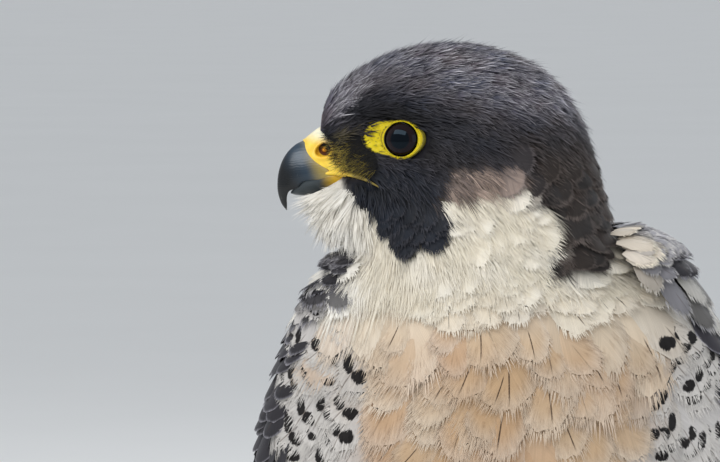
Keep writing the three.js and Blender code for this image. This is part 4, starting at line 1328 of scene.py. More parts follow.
def make_wing(name, hand):
    """A folded wing: four tiers of long vanes, under coverts."""
    surface = Surface(wing_point(hand), (0.0, 13.0), (0.0, math.radians(150)), wraps=False)
    finish = plumage("wing_plumage_" + name, barbs=60.0, depth=0.1, roughness=0.5, sheen=0.1, contrast=0.3,
                     rim_from=0.9)
    quills = Piece("wing_quills_" + name)
    for number, tier in enumerate(TIERS.values()):
        lay_tier(quills, surface, *tier, seed=60 + number)
    quills.make(finish, "wing_feathers")
    make_coverts(name, hand, surface, finish)


def make_coverts(name, hand, surface, finish):
    """A wing's small rounded coverts from the shoulder on, pale at the wrist and, on the left, in
    a cape and a strip beside the neck."""
    coverts = Piece("wing_coverts_" + name)
    top = (np.linspace(-1.1, 0.6, 10), 3.6)
    rest = (rows_apart(surface, (0.8, 3.9), math.radians(80), 5.4), 6.4)
    around = (math.radians(4), math.radians(140))
    places = [surface.tile(rows, spacing, around, lambda p: p[:, 2] < COVERTS_TO, 65 + order)
              for order, (rows, spacing) in enumerate((top, rest))]
    u, v = np.concatenate(places, axis=1)
    kept = (v < math.radians(111)) | ((u < 1.3) & (v < math.radians(120 + 6 * hand)))
    kept |= (u < 0.9) & (hand > 0)
    p, _ = surface.at(u, v)
    out = hand * p[:, 0] - 0.5 * (315 - p[:, 2])
    kept &= (v < math.radians(60)) | (out > NECK_EDGE) | (hand < 0)
    u, v, p, out = u[kept], v[kept], p[kept], out[kept]
    rng = np.random.default_rng(67)
    way = vector(0.012 * p[:, 0], np.interp(p[:, 2], [243, 298, 312], [0.25, 0.05, 0.3]), -1.0)
    way = way + rng.normal(0, 0.12, p.shape)
    c = colours()
    count = len(u)
    shade = rng.normal(1, 0.16, (count, 1))
    away = (np.abs(p[:, 0]) - WRIST["x"]) ** 2 + (p[:, 2] - 6 - WRIST["z"]) ** 2
    patch = step(0.35, 0.6, np.exp(-away / WRIST["reach"] ** 2) * rng.random(count) ** 0.5)
    neck_side = step(47, 41, out) * step(288, 297, p[:, 2]) * step(2, -8, p[:, 1]) * (hand > 0)
    cape = rng.uniform(0.2, 1, count) * np.maximum(neck_side, 0.2 * step(51, 44, hand * p[:, 0]))
    ground = blend(blend(c["wing"], c["cape"], cape), c["white"], patch)
    rim = blend(c["wing_rim"], c["white"], np.maximum(patch, 0.6 * cape))
    if hand > 0:
        strip = step(38, 36, out) * (p[:, 1] < -14)
        ground = blend(ground, blend(c["cream"], c["buff"], 0.3), strip * rng.uniform(0.6, 1, count))
        rim = blend(rim, c["cream"], strip)
    look = look_of(count, rng, ground * shade, rim * shade, (0.6, 0.9, 0, 0))
    grown = np.interp(u, [-1, 0.6, 1, 4], [0.52, 0.66, 0.95, 1.35]) * rng.normal(1, 0.08, count)
    large = u >= COVERT["large_from"]
    for plan, part in (("small", ~large), ("vane", large)):
        count = part.sum()
        these = {key: value[part] for key, value in look.items()}
        high = 1.0 + rng.uniform(-0.2, 0.2, count)
        roll = 0.1 * rng.normal(0, 1, count)
        stand = 0.01 * rng.exponential(1, count)
        size = (COVERT["length"] * grown[part], COVERT["half"] * grown[part])
        lay(coverts, surface, u[part], v[part], PLANS[plan], these, *size, way[part], COVERT["deep"],
            high, stand, cup=0.22, roll=roll, bend=rng.normal(0, 0.06, count), seed=68)
    coverts.make(finish, "wing_feathers")


# The tail: its feathers, how far apart they lie at root and tip, half their width and how steeply
# they run down in degrees, then the size of a covert
TAIL = {"feathers": 12, "length": 164, "spread": (2.2, 3.1), "half": 11.5, "slope": 40, "covert": (24, 7.5)}


def make_tail():
    """The tail: twelve barred feathers, the middle pair on top, with coverts above and below."""
    finish = plumage("tail_plumage", barbs=70.0, depth=0.12, roughness=0.5, sheen=0.1, contrast=0.22)
    faces = {face: Surface(tail_surface(face), (0.0, 180.0), (-40.0, 40.0), wraps=False)
             for face in (1, -1)}
    quills, coverts = Piece("tail_quills"), Piece("tail_coverts")
    c = colours()
    count = TAIL["feathers"]
    at = (np.arange(count) - (count - 1) / 2)[:, None]
    rank = np.abs(at) - 0.5
    rng = np.random.default_rng(71)
    plan = PLANS["firm"]
    version = rng.integers(0, len(plan.a), count)
    a, b = plan.a[version], plan.b[version]
    x = at * mix(*TAIL["spread"], a) + b * TAIL["half"] * mix(0.7, 1, a)
    out = 8 + a * (TAIL["length"] - 0.35 * rank**2 - 8)
    points = tail_point(out, x, 0.6 - 0.9 * rank - 0.012 * (b * TAIL["half"]) ** 2)
    look = look_of(count, rng, c["tail"], c["white"], (0, 0.6, 0, 0.8))
    add_feathers(quills, points, plan, a, b, faces[1], 10 + 0 * at[:, 0], x[:, 0], look)
    quills.make(finish, "tail_feathers")
    slope = math.radians(TAIL["slope"])
    for face, surface in faces.items():
        u, v = surface.tile(np.linspace(2, 52, 8), 6.5, (-17.0, 17.0), lambda p: p[:, 2] > 0, 73 + face)
        count = len(u)
        ground, rim = (c["wing"], c["wing_rim"]) if face > 0 else (c["flank"], c["white"])
        look = look_of(count, rng, ground * rng.normal(1, 0.07, (count, 1)), rim, (0, 0.7, 0, 1))
        way = vector(0.01 * v, math.sin(slope), -math.cos(slope))
        lay(coverts, surface, u, v, PLANS["vane"], look, *TAIL["covert"], way, -2.0, 1.0, cup=0.1,
            seed=75 + face)
    coverts.make(finish, "tail_feathers")


def tail_surface(face):
    """The tail's upper or under side as a function of the distance out and across: the tail's flat
    with a crown at its root that falls away as it goes out and to the sides."""
    def point(out, x):
        crown = 5.4 * hump(out / 55, x / 26) + 0.9
        return tail_point(out, x, face * crown - 1.4)
    return point


# How high the thighs' own feathers reach, up under the belly's
THIGHS_TO = 175


def make_thighs():
    """The barred feathers of the thighs."""
    finish = plumage("thigh_plumage", barbs=40.0, depth=0.2, roughness=0.85, sheen=0.25, contrast=0.25)
    c = colours()
    for name, hand in HANDS.items():
        piece = Piece("thigh_feathers_" + name)
        rows = thigh_rows(hand)
        surface = Surface(limb_point(rows), (0.0, len(rows) - 1.0), (0.0, FULL_TURN), (200, 120))
        tiers = rows_apart(surface, (0.4, 4.6), 1.5 * math.pi, 6.5)
        u, v = surface.tile(tiers, 7.0, (0.0, FULL_TURN), lambda p: p[:, 2] < THIGHS_TO, 81 + hand)
        p, _ = surface.at(u, v)
        rng = np.random.default_rng(83 + hand)
        count = len(u)
        ground = c["flank"] * rng.normal(1, 0.05, (count, 1))
        look = look_of(count, rng, ground, c["white"], (0, 0.6, 0, 1))
        way = vector(0 * p[:, 0], np.interp(p[:, 2], [60, 120, 180], [0.45, 0.3, -0.1]), -1.0)
        lay(piece, surface, u, v, PLANS["small"], look, 20 * rng.normal(1, 0.1, count), 6.0, way, -2.5, 1.0,
            cup=0.12, stand=0.02, seed=85 + hand)
        piece.make(finish, "breast_feathers")


# Bill, eyes and bare skin of the head

# Sections in the head's middle plane: top x, z, bottom x, z, half the width.
CERE_ROWS = np.array([
    [-48, 346, -38, 328.8, 11],
    [-54, 347, -43, 329.3, 9.4],
    [-57.8, 345.8, -48, 330.3, 8],
    [-60.6, 343.8, -51.2, 330.7, 7.1],
    [-63.2, 341.8, -53.6, 331.1, 6.2],
])
UPPER_ROWS = np.array([
    [-62.4, 341.6, -53.2, 330.8, 5.4],
    [-63.4, 341.4, -54, 330.6, 6],
    [-65.6, 340.2, -57.5, 329.6, 5.6],
    [-67.9, 338, -60.8, 329.4, 5],
    [-69.6, 335.2, -63.2, 328.8, 4.4],
    [-70.7, 331.8, -65, 326.9, 3.6],
    [-71.1, 328.4, -67.3, 325.9, 2.8],
    [-70.9, 325.2, -68.1, 324, 1.9],
    [-69.9, 322, -68.1, 321.6, 1.1],
    [-68.4, 319.9, -68.1, 319.8, 0.3],
])
LOWER_ROWS = np.array([
    [-44, 329, -44, 325.8, 9],
    [-50, 331, -50, 326, 7.2],
    [-55, 331, -54.5, 325.6, 6.2],
    [-59.6, 330, -59, 324.8, 5.2],
    [-62.6, 329.4, -62.4, 324.4, 4.2],
    [-64.6, 327.8, -65, 324.5, 3],
    [-66.8, 325.7, -67, 325, 1.2],
])
# Each nostril: its place, radius and depth, and the heights of its rim and of the cone in it
NOSTRIL = {"x": -56.3, "z": 339.0, "radius": 2.0, "depth": 2.3, "rim": 0.75, "cone": 1.75}
# The bare edge of the mouth behind the bill: x, z, distance from the middle plane, radius.
GAPE = np.array([
    [-56, 331.6, 6.3, 0.7],
    [-53.6, 331.8, 7.2, 1.0],
    [-50, 331.9, 9.8, 1.15],
    [-46.6, 331.2, 13.6, 0.95],
    [-42.8, 329.8, 17.4, 0.6],
    [-39.4, 328, 20.2, 0.25],
])


def bow(turn, flat=1):
    """The height of a bill's section at turn, from -1 to 1: flat towards the mouth, which lies
    below where flat is 1 and above where it is -1."""
    return flat * np.maximum(-1, 1.35 * flat * np.cos(turn) - 0.35)


def bill_point(rows, narrow):
    """The function of a half of the bill: a section at row t that is round at the narrow side and
    flat at the mouth, narrower by a share towards its round side."""
    def point(t, turn):
        xt, zt, xb, zb, half = along(rows, t)
        top, bottom = vector(xt, HEAD_Y, zt), vector(xb, HEAD_Y, zb)
        middle = (top + bottom) / 2
        high = bow(turn, 1 if narrow > 0 else -1)
        wide = half * (1 - narrow * high) * np.sin(turn)
        return middle + (top - middle) * high[..., None] + vector(0, wide, 0)
    return point


def cere_point(t, turn):
    """The cere: a half of the bill with a rim, a pit and a small cone at each nostril, each a
    height over distance from the nostril's middle, pushed out sideways."""
    p = bill_point(CERE_ROWS, 0.34)(t, turn)
    away = np.hypot(p[..., 0] - NOSTRIL["x"], p[..., 2] - NOSTRIL["z"])
    radius = NOSTRIL["radius"]
    rim = NOSTRIL["rim"] * hump((away - radius - 0.55) / 0.75)
    pit = NOSTRIL["depth"] * (1 - step(radius - 0.35, radius + 0.1, away))
    cone = NOSTRIL["cone"] * hump(away / 0.8)
    side = np.sign(p[..., 1] - HEAD_Y) * step(2, 4, np.abs(p[..., 1] - HEAD_Y))
    p[..., 1] += side * (rim - pit + cone)
    lobe = 1.9 * np.maximum(0, 1 - ((bow(turn) - 0.1) / 0.75) ** 2) * step(2.7, 4, t)
    p[..., 0] -= 0.95 * lobe
    p[..., 2] -= 0.2 * lobe
    p[..., 1] -= side * 0.16 * lobe
    fold = 0.3 * hump((t - 0.9) / 0.25) - 0.12 * hump((t - 3.6) / 0.2)
    middle = p.mean(axis=1, keepdims=True)
    return p + unit(p - middle) * fold[..., None]


def make_bill():
    """The cere with the corners of the mouth, and both halves of the bill."""
    cere = Piece("cere_skin")
    cere.body(cere_point, (0, len(CERE_ROWS) - 1, 110), 170)
    for side in HEAD_SIDES.values():
        def tube(t, turn):
            x, z, out, thick = along(GAPE, t)
            return vector(x, HEAD_Y + side * (out + thick * np.cos(turn)), z + 0.8 * thick * np.sin(turn))
        cere.body(tube, (0, len(GAPE) - 1, 40), 16)
    cere.make(cere_finish(), "bare_skin", ["cere"])
    halves = {"upper": (UPPER_ROWS, 0.3, 90, 72), "lower": (LOWER_ROWS, -0.25, 60, 60)}
    for name, (rows, narrow, count, sides) in halves.items():
        piece = Piece(name + "_bill")
        piece.body(bill_point(rows, narrow), (0, len(rows) - 1, count), sides)
        piece.make(horn_finish(name + "_horn", name == "lower"), "bill_horn", ["bill_" + name])


def near(f, place, point, low, high):
    """1 within low millimetres of a point of the bird and 0 beyond high."""
    point = (np.array(point) + PLACE) * MM
    away = f.vectors("DISTANCE", {0: place, 1: point}, "Value")
    return 1.0 - f.ramp(away, low * MM, high * MM)


def cere_finish():
    """Bare skin of the cere: bright yellow at the sides and orange in the nostril, with a painted
    highlight that makes the top nearly white and painted shade that makes the nostril's pit dark
    brown. Places here and on the horn are in metres."""
    f = Finish("cere_skin", Roughness=0.38, Specular_IOR_Level=0.5, Subsurface_Weight=0.12,
               Subsurface_Radius=(0.004, 0.002, 0.001))
    place = f.place()
    x, _, z = f.parts(place)
    grain = f.noise(place, 700.0)
    broad = f.noise(place, 160.0)
    yellow = f.mixed(broad, (0.92, 0.56, 0.02, 1), (0.98, 0.74, 0.1, 1))
    # Painted highlight: nearly white towards the top, where the light falls.
    top = f.ramp(z + x * 0.25 + (broad - 0.5) * 0.002, 0.3252, 0.3302)
    colour = f.mixed(top, yellow, (1.0, 0.95, 0.7, 1))
    flat = f.joined(x, 0.0, z)
    nostril = (NOSTRIL["x"], -PLACE[1], NOSTRIL["z"])
    # Painted shade: the nostril's pit is dark brown, as its depth lies in shade.
    pit = near(f, flat, nostril, 1.75, 2.05)
    colour = f.mixed(near(f, flat, nostril, 2.4, 4.2) * 0.5, colour, (0.92, 0.5, 0.01, 1))
    colour = f.mixed(pit, colour, (0.1, 0.025, 0.006, 1))
    colour = f.mixed(near(f, flat, nostril, 0.45, 0.95), colour, (0.85, 0.36, 0.01, 1))
    olive = f.ramp(x + z * 0.62 + (broad - 0.5) * 0.003, 0.1558, 0.1594)
    colour = f.mixed(olive * 0.9, colour, (0.15, 0.115, 0.018, 1))
    f.feed("Base Color", f.times(colour, 0.86 + grain * 0.28))
    f.feed("Roughness", pit * 0.4 + (grain * 0.1 + 0.33))
    f.bump(grain + broad, 0.4, 0.25 * MM)
    return f.material


def horn_finish(name, low):
    """Horn of the bill: yellowish at the cere, blue-grey in the middle and black at the tip, with
    faint growth lines and pale scuffs. The upper half has a painted reflection of the sky, a paler
    blue-grey spot on each side, and the lower is yellow at its root."""
    f = Finish(name, Specular_IOR_Level=0.4)
    place = f.place()
    x, _, z = f.parts(place)
    grain = f.noise(place, 260.0, 5.0)
    shift = (f.noise(place, 90.0) - 0.5) * 0.005
    tip = f.ramp(x * -1.0 - z * 0.55 + shift, -0.1245, -0.113)
    mid = f.ramp(x * -1.0 - z * 0.3 + shift, -0.0462, -0.037)
    olive = f.ramp(z + x * 0.5 + shift, 0.3035, 0.3095)
    pale = f.mixed(olive, (0.5, 0.36, 0.06, 1), (0.62, 0.6, 0.46, 1))
    colour = f.mixed(mid, pale, (0.028, 0.052, 0.082, 1))
    # Painted reflection of the sky: a paler blue-grey spot on each side of the upper half.
    if not low:
        for side in HEAD_SIDES.values():
            spot = near(f, place, (-66.0, HEAD_Y + side * 6.5, 338.0), 1.0, 6.0)
            colour = f.mixed(spot * 0.6, colour, (0.19, 0.25, 0.31, 1))
    colour = f.mixed(tip, colour, (0.004, 0.005, 0.006, 1))
    if low:
        ahead = f.ramp(x * -1.0 + shift, 0.053, 0.0585)
        colour = f.mixed(ahead, (0.6, 0.36, 0.015, 1), (0.035, 0.047, 0.055, 1))
    lines = (f.vectors("LENGTH", {0: place}, "Value") * 9000.0 + grain * 14.0).wave()
    stretched = f.node("ShaderNodeMapping", {}, {"Vector": place, "Scale": (900.0, 300.0, 90.0)})
    scratch = f.noise(stretched, 1.0, 4.0)
    scuffs = f.ramp(scratch, 0.66, 0.74) * f.ramp(grain, 0.45, 0.6)
    colour = f.mixed(scuffs * 0.4, colour, (0.5, 0.5, 0.47, 1))
    f.feed("Base Color", f.times(colour, 0.9 + grain * 0.2 + lines * 0.03))
    f.feed("Roughness", 0.17 + scuffs * 0.3 + grain * 0.14)
    f.bump(lines * 0.15 + grain + scratch * 0.3, 0.25, 0.2 * MM)
    return f.material


def head_side(x, z):
    """How far the head's side lies from its middle plane at x, z of the side view: the half width
    of the section that passes there."""
    t = np.linspace(0, NECK_ROW, 1500)
    angle = np.degrees(np.arctan2(z - THROAT[1], x - THROAT[0]))
    at = np.interp(-angle, -along(HEAD_ROWS, t)[0], t)
    _, inner, outer, half = along(HEAD_ROWS, at)
    reach = mix(inner, outer, WIDEST)
    out = (np.hypot(z - THROAT[1], x - THROAT[0]) - reach) / (outer - reach)
    side = half * np.sqrt(np.maximum(0, 1 - out**2))
    return side + head_forms(vector(x, HEAD_Y + side, z))[..., 0]


def make_bristles():
    """Fine black bristles between bill and eye, that run forward over the cere's edge."""
    piece = Piece("bristles")
    u, v = BODY.strew(0.7, zone("lores"), 95, NECK_ROW)
    p, _ = BODY.at(u, v)
    count = len(u)
    rng = np.random.default_rng(96)
    eye = np.array([EYE["x"] + 2, HEAD_Y, EYE["z"] + 3])
    way = unit((p - eye) * np.array([1, 0, 1])) + rng.normal(0, 0.3, (count, 3))
    black = np.array([0.006, 0.006, 0.007])
    edge = p[:, 0] + 0.62 * (p[:, 2] - 340)
    share = 0.45 * step(-43.5, -50, edge) * step(345, 338, p[:, 2])
    yellow = colours()["lores"] * (rng.random(count) < share)[:, None]
    look = look_of(count, rng, black + yellow, black, 0)
    lay(piece, BODY, u, v, PLANS["bristle"], look, rng.uniform(2.5, 5.5, count), 0.9, unit(way), -0.5,
        0.7, stand=0.12 * rng.exponential(1, count), seed=97)
    piece.make(plumage("bristle_plumage", edge=0.0), "hood_feathers")


def eye_axes(side):
    """An eye's middle and its axes: back along the head, up, and the way it looks."""
    turn = math.radians(EYE["turn"])
    look = unit(np.array([-math.sin(turn), side * math.cos(turn), 0.06]))
    back = unit(np.array([1, 0, 0]) - look * look[0])
    up = np.cross(look, back) * -side
    x, z = np.array(EYE["x"]), np.array(EYE["z"])
    out = float(head_side(x, z)) - EYE["depth"]
    return np.array([EYE["x"], HEAD_Y + side * out, EYE["z"]]), back, up, look


def make_eyes():
    """The eyeballs, with the clear front's bulge, and the bare rings and lids round them."""
    radius = bpy.context.scene.falcon_sizes.eye_radius / MM
    polar = np.linspace(0.002, math.pi - 0.002, 60)
    q, w = np.meshgrid(polar, np.linspace(0, FULL_TURN, 65)[:-1], indexing="ij")
    reach = radius + CORNEA["height"] * np.exp(-((q / CORNEA["reach"]) ** 4))
    away = np.sin(q) * np.sign(np.cos(q)) + 2 * (np.cos(q) < 0)
    iris = np.stack([away, w / FULL_TURN, 0 * q, 0 * q + 1], -1).reshape(-1, 4)
    iris = np.concatenate([iris, [[0, 0, 0, 1], [2, 0, 0, 1]]])
    for name, side in HEAD_SIDES.items():
        middle, back, up, look = eye_axes(side)
        flat = np.sin(q) * reach
        grid = middle + (np.cos(q) * reach)[..., None] * look
        grid = grid + (flat * np.cos(w))[..., None] * back + (flat * np.sin(w))[..., None] * up
        ball = Piece("eyeball_" + name)
        ball.add(*closed(grid), iris=iris)
        ball.make(eye_finish("eye_" + name), "eye", ["eye_" + name])
        make_lids(name, middle, back, up, look, radius)


def make_lids(name, middle, back, up, look, radius):
    """The bare ring: a closed band round the eye. Going out from its inner edge it rises from the
    eyeball, swells, and falls to the head's surface, where the feathers cover its outer edge."""
    turns = np.linspace(0, FULL_TURN, 145)[:-1]
    share = np.linspace(0, 1, 18)
    a = turns[:, None]
    reach = mix(LID["inner"], ring_reach(a) + 0.5, share**1.2)
    def place(r, high):
        return (middle + (r * np.cos(a))[..., None] * back + (r * np.sin(a))[..., None] * up
                + high[..., None] * look)
    on_head = np.zeros_like(reach)
    for _ in range(5):
        p = place(reach, on_head)
        gap = head_side(p[..., 0], p[..., 2]) - np.abs(p[..., 1] - HEAD_Y)
        on_head = on_head + gap / math.cos(math.radians(EYE["turn"]))
    ball = np.sqrt(np.maximum((radius + 0.42) ** 2 - reach**2, 4.0))
    outward = step(0.0, 0.45, share) * np.ones_like(a)
    high = mix(ball, on_head - 0.5 * step(0.75, 1, share), outward)
    crease = 0.1 * np.sin(a * 26 + 5 * share) * step(0.1, 0.3, share) * (1 - step(0.7, 1, share))
    crease = crease + 0.16 * np.sin(share * 17 + 1.2 * np.sin(3 * a)) * step(0.12, 0.4, share)
    swell = LID["swell"] * np.sin(np.pi * np.clip(share / 0.5, 0, 1)) ** 2
    top = place(reach, high + swell + crease)
    under = place(reach, high - LID["thick"])[:, ::-1]
    grid = np.concatenate([top, under], 1)
    count, ring, _ = grid.shape
    i, j = np.mgrid[0:count, 0:ring]
    k, n = (i + 1) % count, (j + 1) % ring
    quads = np.stack([i * ring + j, k * ring + j, k * ring + n, i * ring + n], -1).reshape(-1, 4)
    points = grid.reshape(-1, 3)
    edge = np.concatenate([share, share[::-1]]) * np.ones((count, 1))
    front = np.maximum(0, -np.cos(a)) * np.ones_like(edge)
    value = np.stack([edge, front, 0 * edge, 0 * edge + 1], -1).reshape(-1, 4)
    lids = Piece("eye_ring_" + name)
    lids.add(points, turned_out(points, [quads]), band=value)
    lids.make(ring_finish("ring_" + name), "bare_skin", ["lid_" + name])


def eye_finish(name):
    """A wet dark eye: black pupil, very dark brown iris with faint rays, and a darker edge."""
    f = Finish(name, Roughness=0.04, Specular_IOR_Level=0.2, Specular_Tint=(0.5, 0.75, 1.0, 1.0))
    away, turn, _ = f.parts(f.attribute("iris"))
    rays = f.noise(f.joined(turn * 60.0, away * 4.0), 1.0)
    iris = f.mixed(rays, (0.006, 0.002, 0.0015, 1), (0.017, 0.006, 0.004, 1))
    colour = f.mixed(f.ramp(away, 0.34, 0.4), (0.001, 0.001, 0.0015, 1), iris)
    colour = f.mixed(f.ramp(away, 0.56, 0.64), colour, (0.002, 0.002, 0.002, 1))
    f.feed("Base Color", colour)
    return f.material


def ring_finish(name):
    """Bare yellow skin round the eye, black at the lid's edge, with painted shade of a groove in front,
    and olive where feathers begin: the skin's own colour with painted shade under them.
    """
    f = Finish(name, Roughness=0.5, Specular_IOR_Level=0.3, Subsurface_Weight=0.1,
               Subsurface_Radius=(0.003, 0.0015, 0.0008))
    share, front, _ = f.parts(f.attribute("band"))
    place = f.place()
    grain = f.noise(place, 900.0)
    broad = f.noise(place, 300.0)
    colour = f.mixed(broad, (0.56, 0.43, 0.002, 1), (0.74, 0.6, 0.006, 1))
    specks = f.ramp(grain, 0.6, 0.68) * f.ramp(share, 0.2, 0.5) * 0.5
    colour = f.mixed(specks, colour, (0.12, 0.1, 0.01, 1))
    dots = f.ramp(f.noise(place, 1500.0), 0.55, 0.62) * f.band(share, 0.1, 0.14, 0.3, 0.42)
    colour = f.mixed(dots * 0.75, colour, (0.05, 0.04, 0.008, 1))
    colour = f.mixed(1.0 - f.ramp(share, 0.03, 0.085), colour, (0.008, 0.007, 0.006, 1))
    # Painted shade of a groove: a darker band in front, near the eyeball.
    groove_shade = f.band(share, 0.15, 0.19, 0.21, 0.27) * front
    colour = f.mixed(groove_shade * 0.7, colour, (0.16, 0.12, 0.01, 1))
    # Darker olive towards the outer edge: the skin's own olive, with painted shade where the feathers lie
    # over it.
    outer = f.ramp(share, 0.5, 0.9) * (1.0 - front) * 0.85 + f.ramp(share, 0.8, 0.98) * front * 0.7
    colour = f.mixed(outer, colour, (0.09, 0.08, 0.015, 1))
    f.feed("Base Color", f.times(colour, 0.8 + broad * 0.4))
    f.bump(grain * 0.6 + broad, 0.5, 0.3 * MM)
    return f.material


# Legs and feet

# The ball of the foot, and the claws' arc: its lean at the root, its sweep, its thickness and how
# far it is flattened
BALL = {"y": -2.5, "z": 4.4, "radii": (6.2, 6.6, 5.6)}
CLAW = {"lean": math.radians(28), "sweep": math.radians(88), "thick": 2.9, "flat": 0.92}
# Toes: turn from straight ahead in degrees (outwards is positive), length, radius at root and
# tip, and the claw's length.
TOES = {
    "inner": (-26, 33, 4.7, 4.0, 17),
    "middle": (4, 51, 4.6, 3.6, 14),
    "outer": (34, 40, 4.2, 3.4, 12.5),
    "hind": (172, 23, 4.7, 4.1, 18),
}


def toe_axes(hand, turn, length, tip):
    """The way a toe points, the way across it, and the middle of its claw's root."""
    angle = math.radians(turn + FOOT_TURN) * hand
    ahead = np.array([math.sin(angle), -math.cos(angle), 0])
    side = np.array([-ahead[1], ahead[0], 0])
    root = np.array([hand * FOOT[0], FOOT[1], tip + 0.4]) + ahead * (length - 1.6)
    return ahead, side, root


def toe_point(hand, turn, length, thick, tip):
    """The function of a toe: rings along it that swell at its joints and close at its end, with
    raised plates across its back, pads beneath, and its lowest points on the floor."""
    ahead, side, _ = toe_axes(hand, turn, length, tip)
    def point(a, b):
        swell = 1 + 0.13 * np.cos(a * math.pi * 6)
        close = np.sqrt(np.maximum(0, 1 - np.maximum(0, (a - 0.86) / 0.145) ** 2))
        r = mix(thick, tip, a) * swell * np.maximum(close, 0.02)
        high = 1.05 * mix(thick, tip, a) + 0.1 + 2.4 * np.maximum(0, 1 - a / 0.3) ** 2
        above = step(0.1, 0.7, np.sin(b))
        plates = 0.28 * np.abs(np.sin(a * length / 2.3 * math.pi)) ** 0.5 * above - 0.2 * above
        below = step(0.2, 0.9, -np.sin(b)) * 0.15 * np.sin(a * length * 2.4) * np.sin(b * 9)
        r = r + (plates + below) * close
        centre = np.array([hand * FOOT[0], FOOT[1], 0]) + (a * length)[..., None] * ahead
        p = centre + (r * np.cos(b))[..., None] * side + vector(0, 0, high + r * 1.05 * np.sin(b))
        p[..., 2] = np.maximum(p[..., 2], 0.12)
        return p
    return point


def claw_point(hand, turn, length, tip, long):
    """The function of a claw: a cone bent through an arc from the toe's end down to the floor."""
    ahead, side, root = toe_axes(hand, turn, length, tip)
    arc = long / CLAW["sweep"]
    def point(a, c):
        b = CLAW["lean"] - CLAW["sweep"] * a
        p = root + (arc * (math.sin(CLAW["lean"]) - np.sin(b)))[..., None] * ahead
        p = p + vector(0, 0, arc * (np.cos(b) - math.cos(CLAW["lean"])) * CLAW["flat"])
        outward = -np.sin(b)[..., None] * ahead + vector(0, 0, np.cos(b))
        keel = 0.12 * step(-0.2, -0.9, np.sin(c)) * np.cos(c * 2) ** 2
        r = mix(CLAW["thick"], 0.12, a**0.85) * (1 - keel)
        return p + (0.75 * r * np.cos(c))[..., None] * side + (r * np.sin(c))[..., None] * outward
    return point


def shank_point(rows):
    """The function of a bare shank: a limb with rows of raised plates, staggered from row to row."""
    limb = limb_point(rows)
    def point(t, turn):
        p = limb(t, turn)
        row = np.floor(t * 6.0)
        plate = np.abs(np.sin(t * 6.0 * math.pi)) ** 0.5
        plate = plate * np.abs(np.sin(turn * 4.5 + 0.5 * math.pi * (row % 2))) ** 0.4
        middle = p.mean(axis=1, keepdims=True)
        return p + unit((p - middle) * np.array([1, 1, 0])) * (0.35 * plate - 0.25)[..., None]
    return point


def make_legs():
    """The bare shanks, feet and claws."""
    skin, horn = foot_finish(), claw_finish()
    for name, hand in HANDS.items():
        leg, claws = Piece("bare_leg_" + name), Piece("claws_" + name)
        rows = shank_rows(hand)
        leg.body(shank_point(rows), (0, len(rows) - 1, 130), 54)
        ball = np.array([hand * FOOT[0], FOOT[1] + BALL["y"], BALL["z"]])
        def pad(q, w):
            reach = vector(np.sin(q) * np.cos(w), np.sin(q) * np.sin(w), np.cos(q))
            return ball + reach * np.array(BALL["radii"]) * np.array([1, 1, 0.78])
        leg.body(pad, (0.01, math.pi - 0.01, 30), 36)
        for turn, length, thick, tip, long in TOES.values():
            leg.body(toe_point(hand, turn, length, thick, tip), (0, 1, 110), 40)
            claws.body(claw_point(hand, turn, length, tip, long), (0, 1, 30), 20)
        leg.make(skin, "bare_skin", ["shank_" + name, "foot_" + name])
        claws.make(horn, "claw_horn", [f"claw_{toe}_{name}" for toe in TOES])


def foot_finish():
    """Yellow skin of the feet, with small scales and dull creases."""
    f = Finish("foot_skin", Roughness=0.5, Specular_IOR_Level=0.4)
    place = f.place()
    grain = f.noise(place, 500.0)
    scales = {"Vector": place, "Scale": 620.0}
    edge = f.node("ShaderNodeTexVoronoi", {"feature": "DISTANCE_TO_EDGE"}, scales)
    line = 1.0 - f.ramp(edge, 0.0, 0.14)
    colour = f.mixed(grain, (0.62, 0.42, 0.02, 1), (0.82, 0.6, 0.05, 1))
    colour = f.mixed(line * 0.6, colour, (0.26, 0.17, 0.02, 1))
    f.feed("Base Color", colour)
    f.bump(grain * 0.3 - line, 0.5, 0.3 * MM)
    return f.material


def claw_finish():
    """Black horn of the claws, a little paler and duller in places, by a grain."""
    f = Finish("claw_horn", Specular_IOR_Level=0.5)
    place = f.place()
    grain = f.noise(place, 400.0, 5.0)
    colour = f.mixed(grain, (0.008, 0.008, 0.009, 1), (0.035, 0.033, 0.032, 1))
    f.feed("Base Color", colour)
    f.feed("Roughness", 0.22 + grain * 0.25)
    f.bump(grain, 0.3, 0.15 * MM)
    return f.material


# Stage

# The photo's view: what it looks at, from how far and from what angle, in degrees
VIEW = {"target": (-45.3, -16.0, 313.25), "distance": 1600.0, "rise": 3.5, "lens": 256.0, "sensor": 36.0}
FLOOR_HALF = 40.0
# The area lights: place, size, power and colour, all aimed at one point, and the world's light
LIGHTS = {
    "key": ((-1.1, -1.5, 1.7), (2.5, 0.9), 29.0, (1.0, 0.98, 0.95)),
    "fill": ((1.7, -1.3, 0.5), (1.6, 1.6), 6.0, (0.95, 0.98, 1.0)),
    "back": ((0.7, 1.5, 1.5), (1.4, 1.0), 12.0, (0.97, 0.98, 1.0)),
}
AIM = np.array([0, -0.05, 0.25])
WORLD = {"Color": (0.9, 0.94, 1.0, 1), "Strength": 0.62}


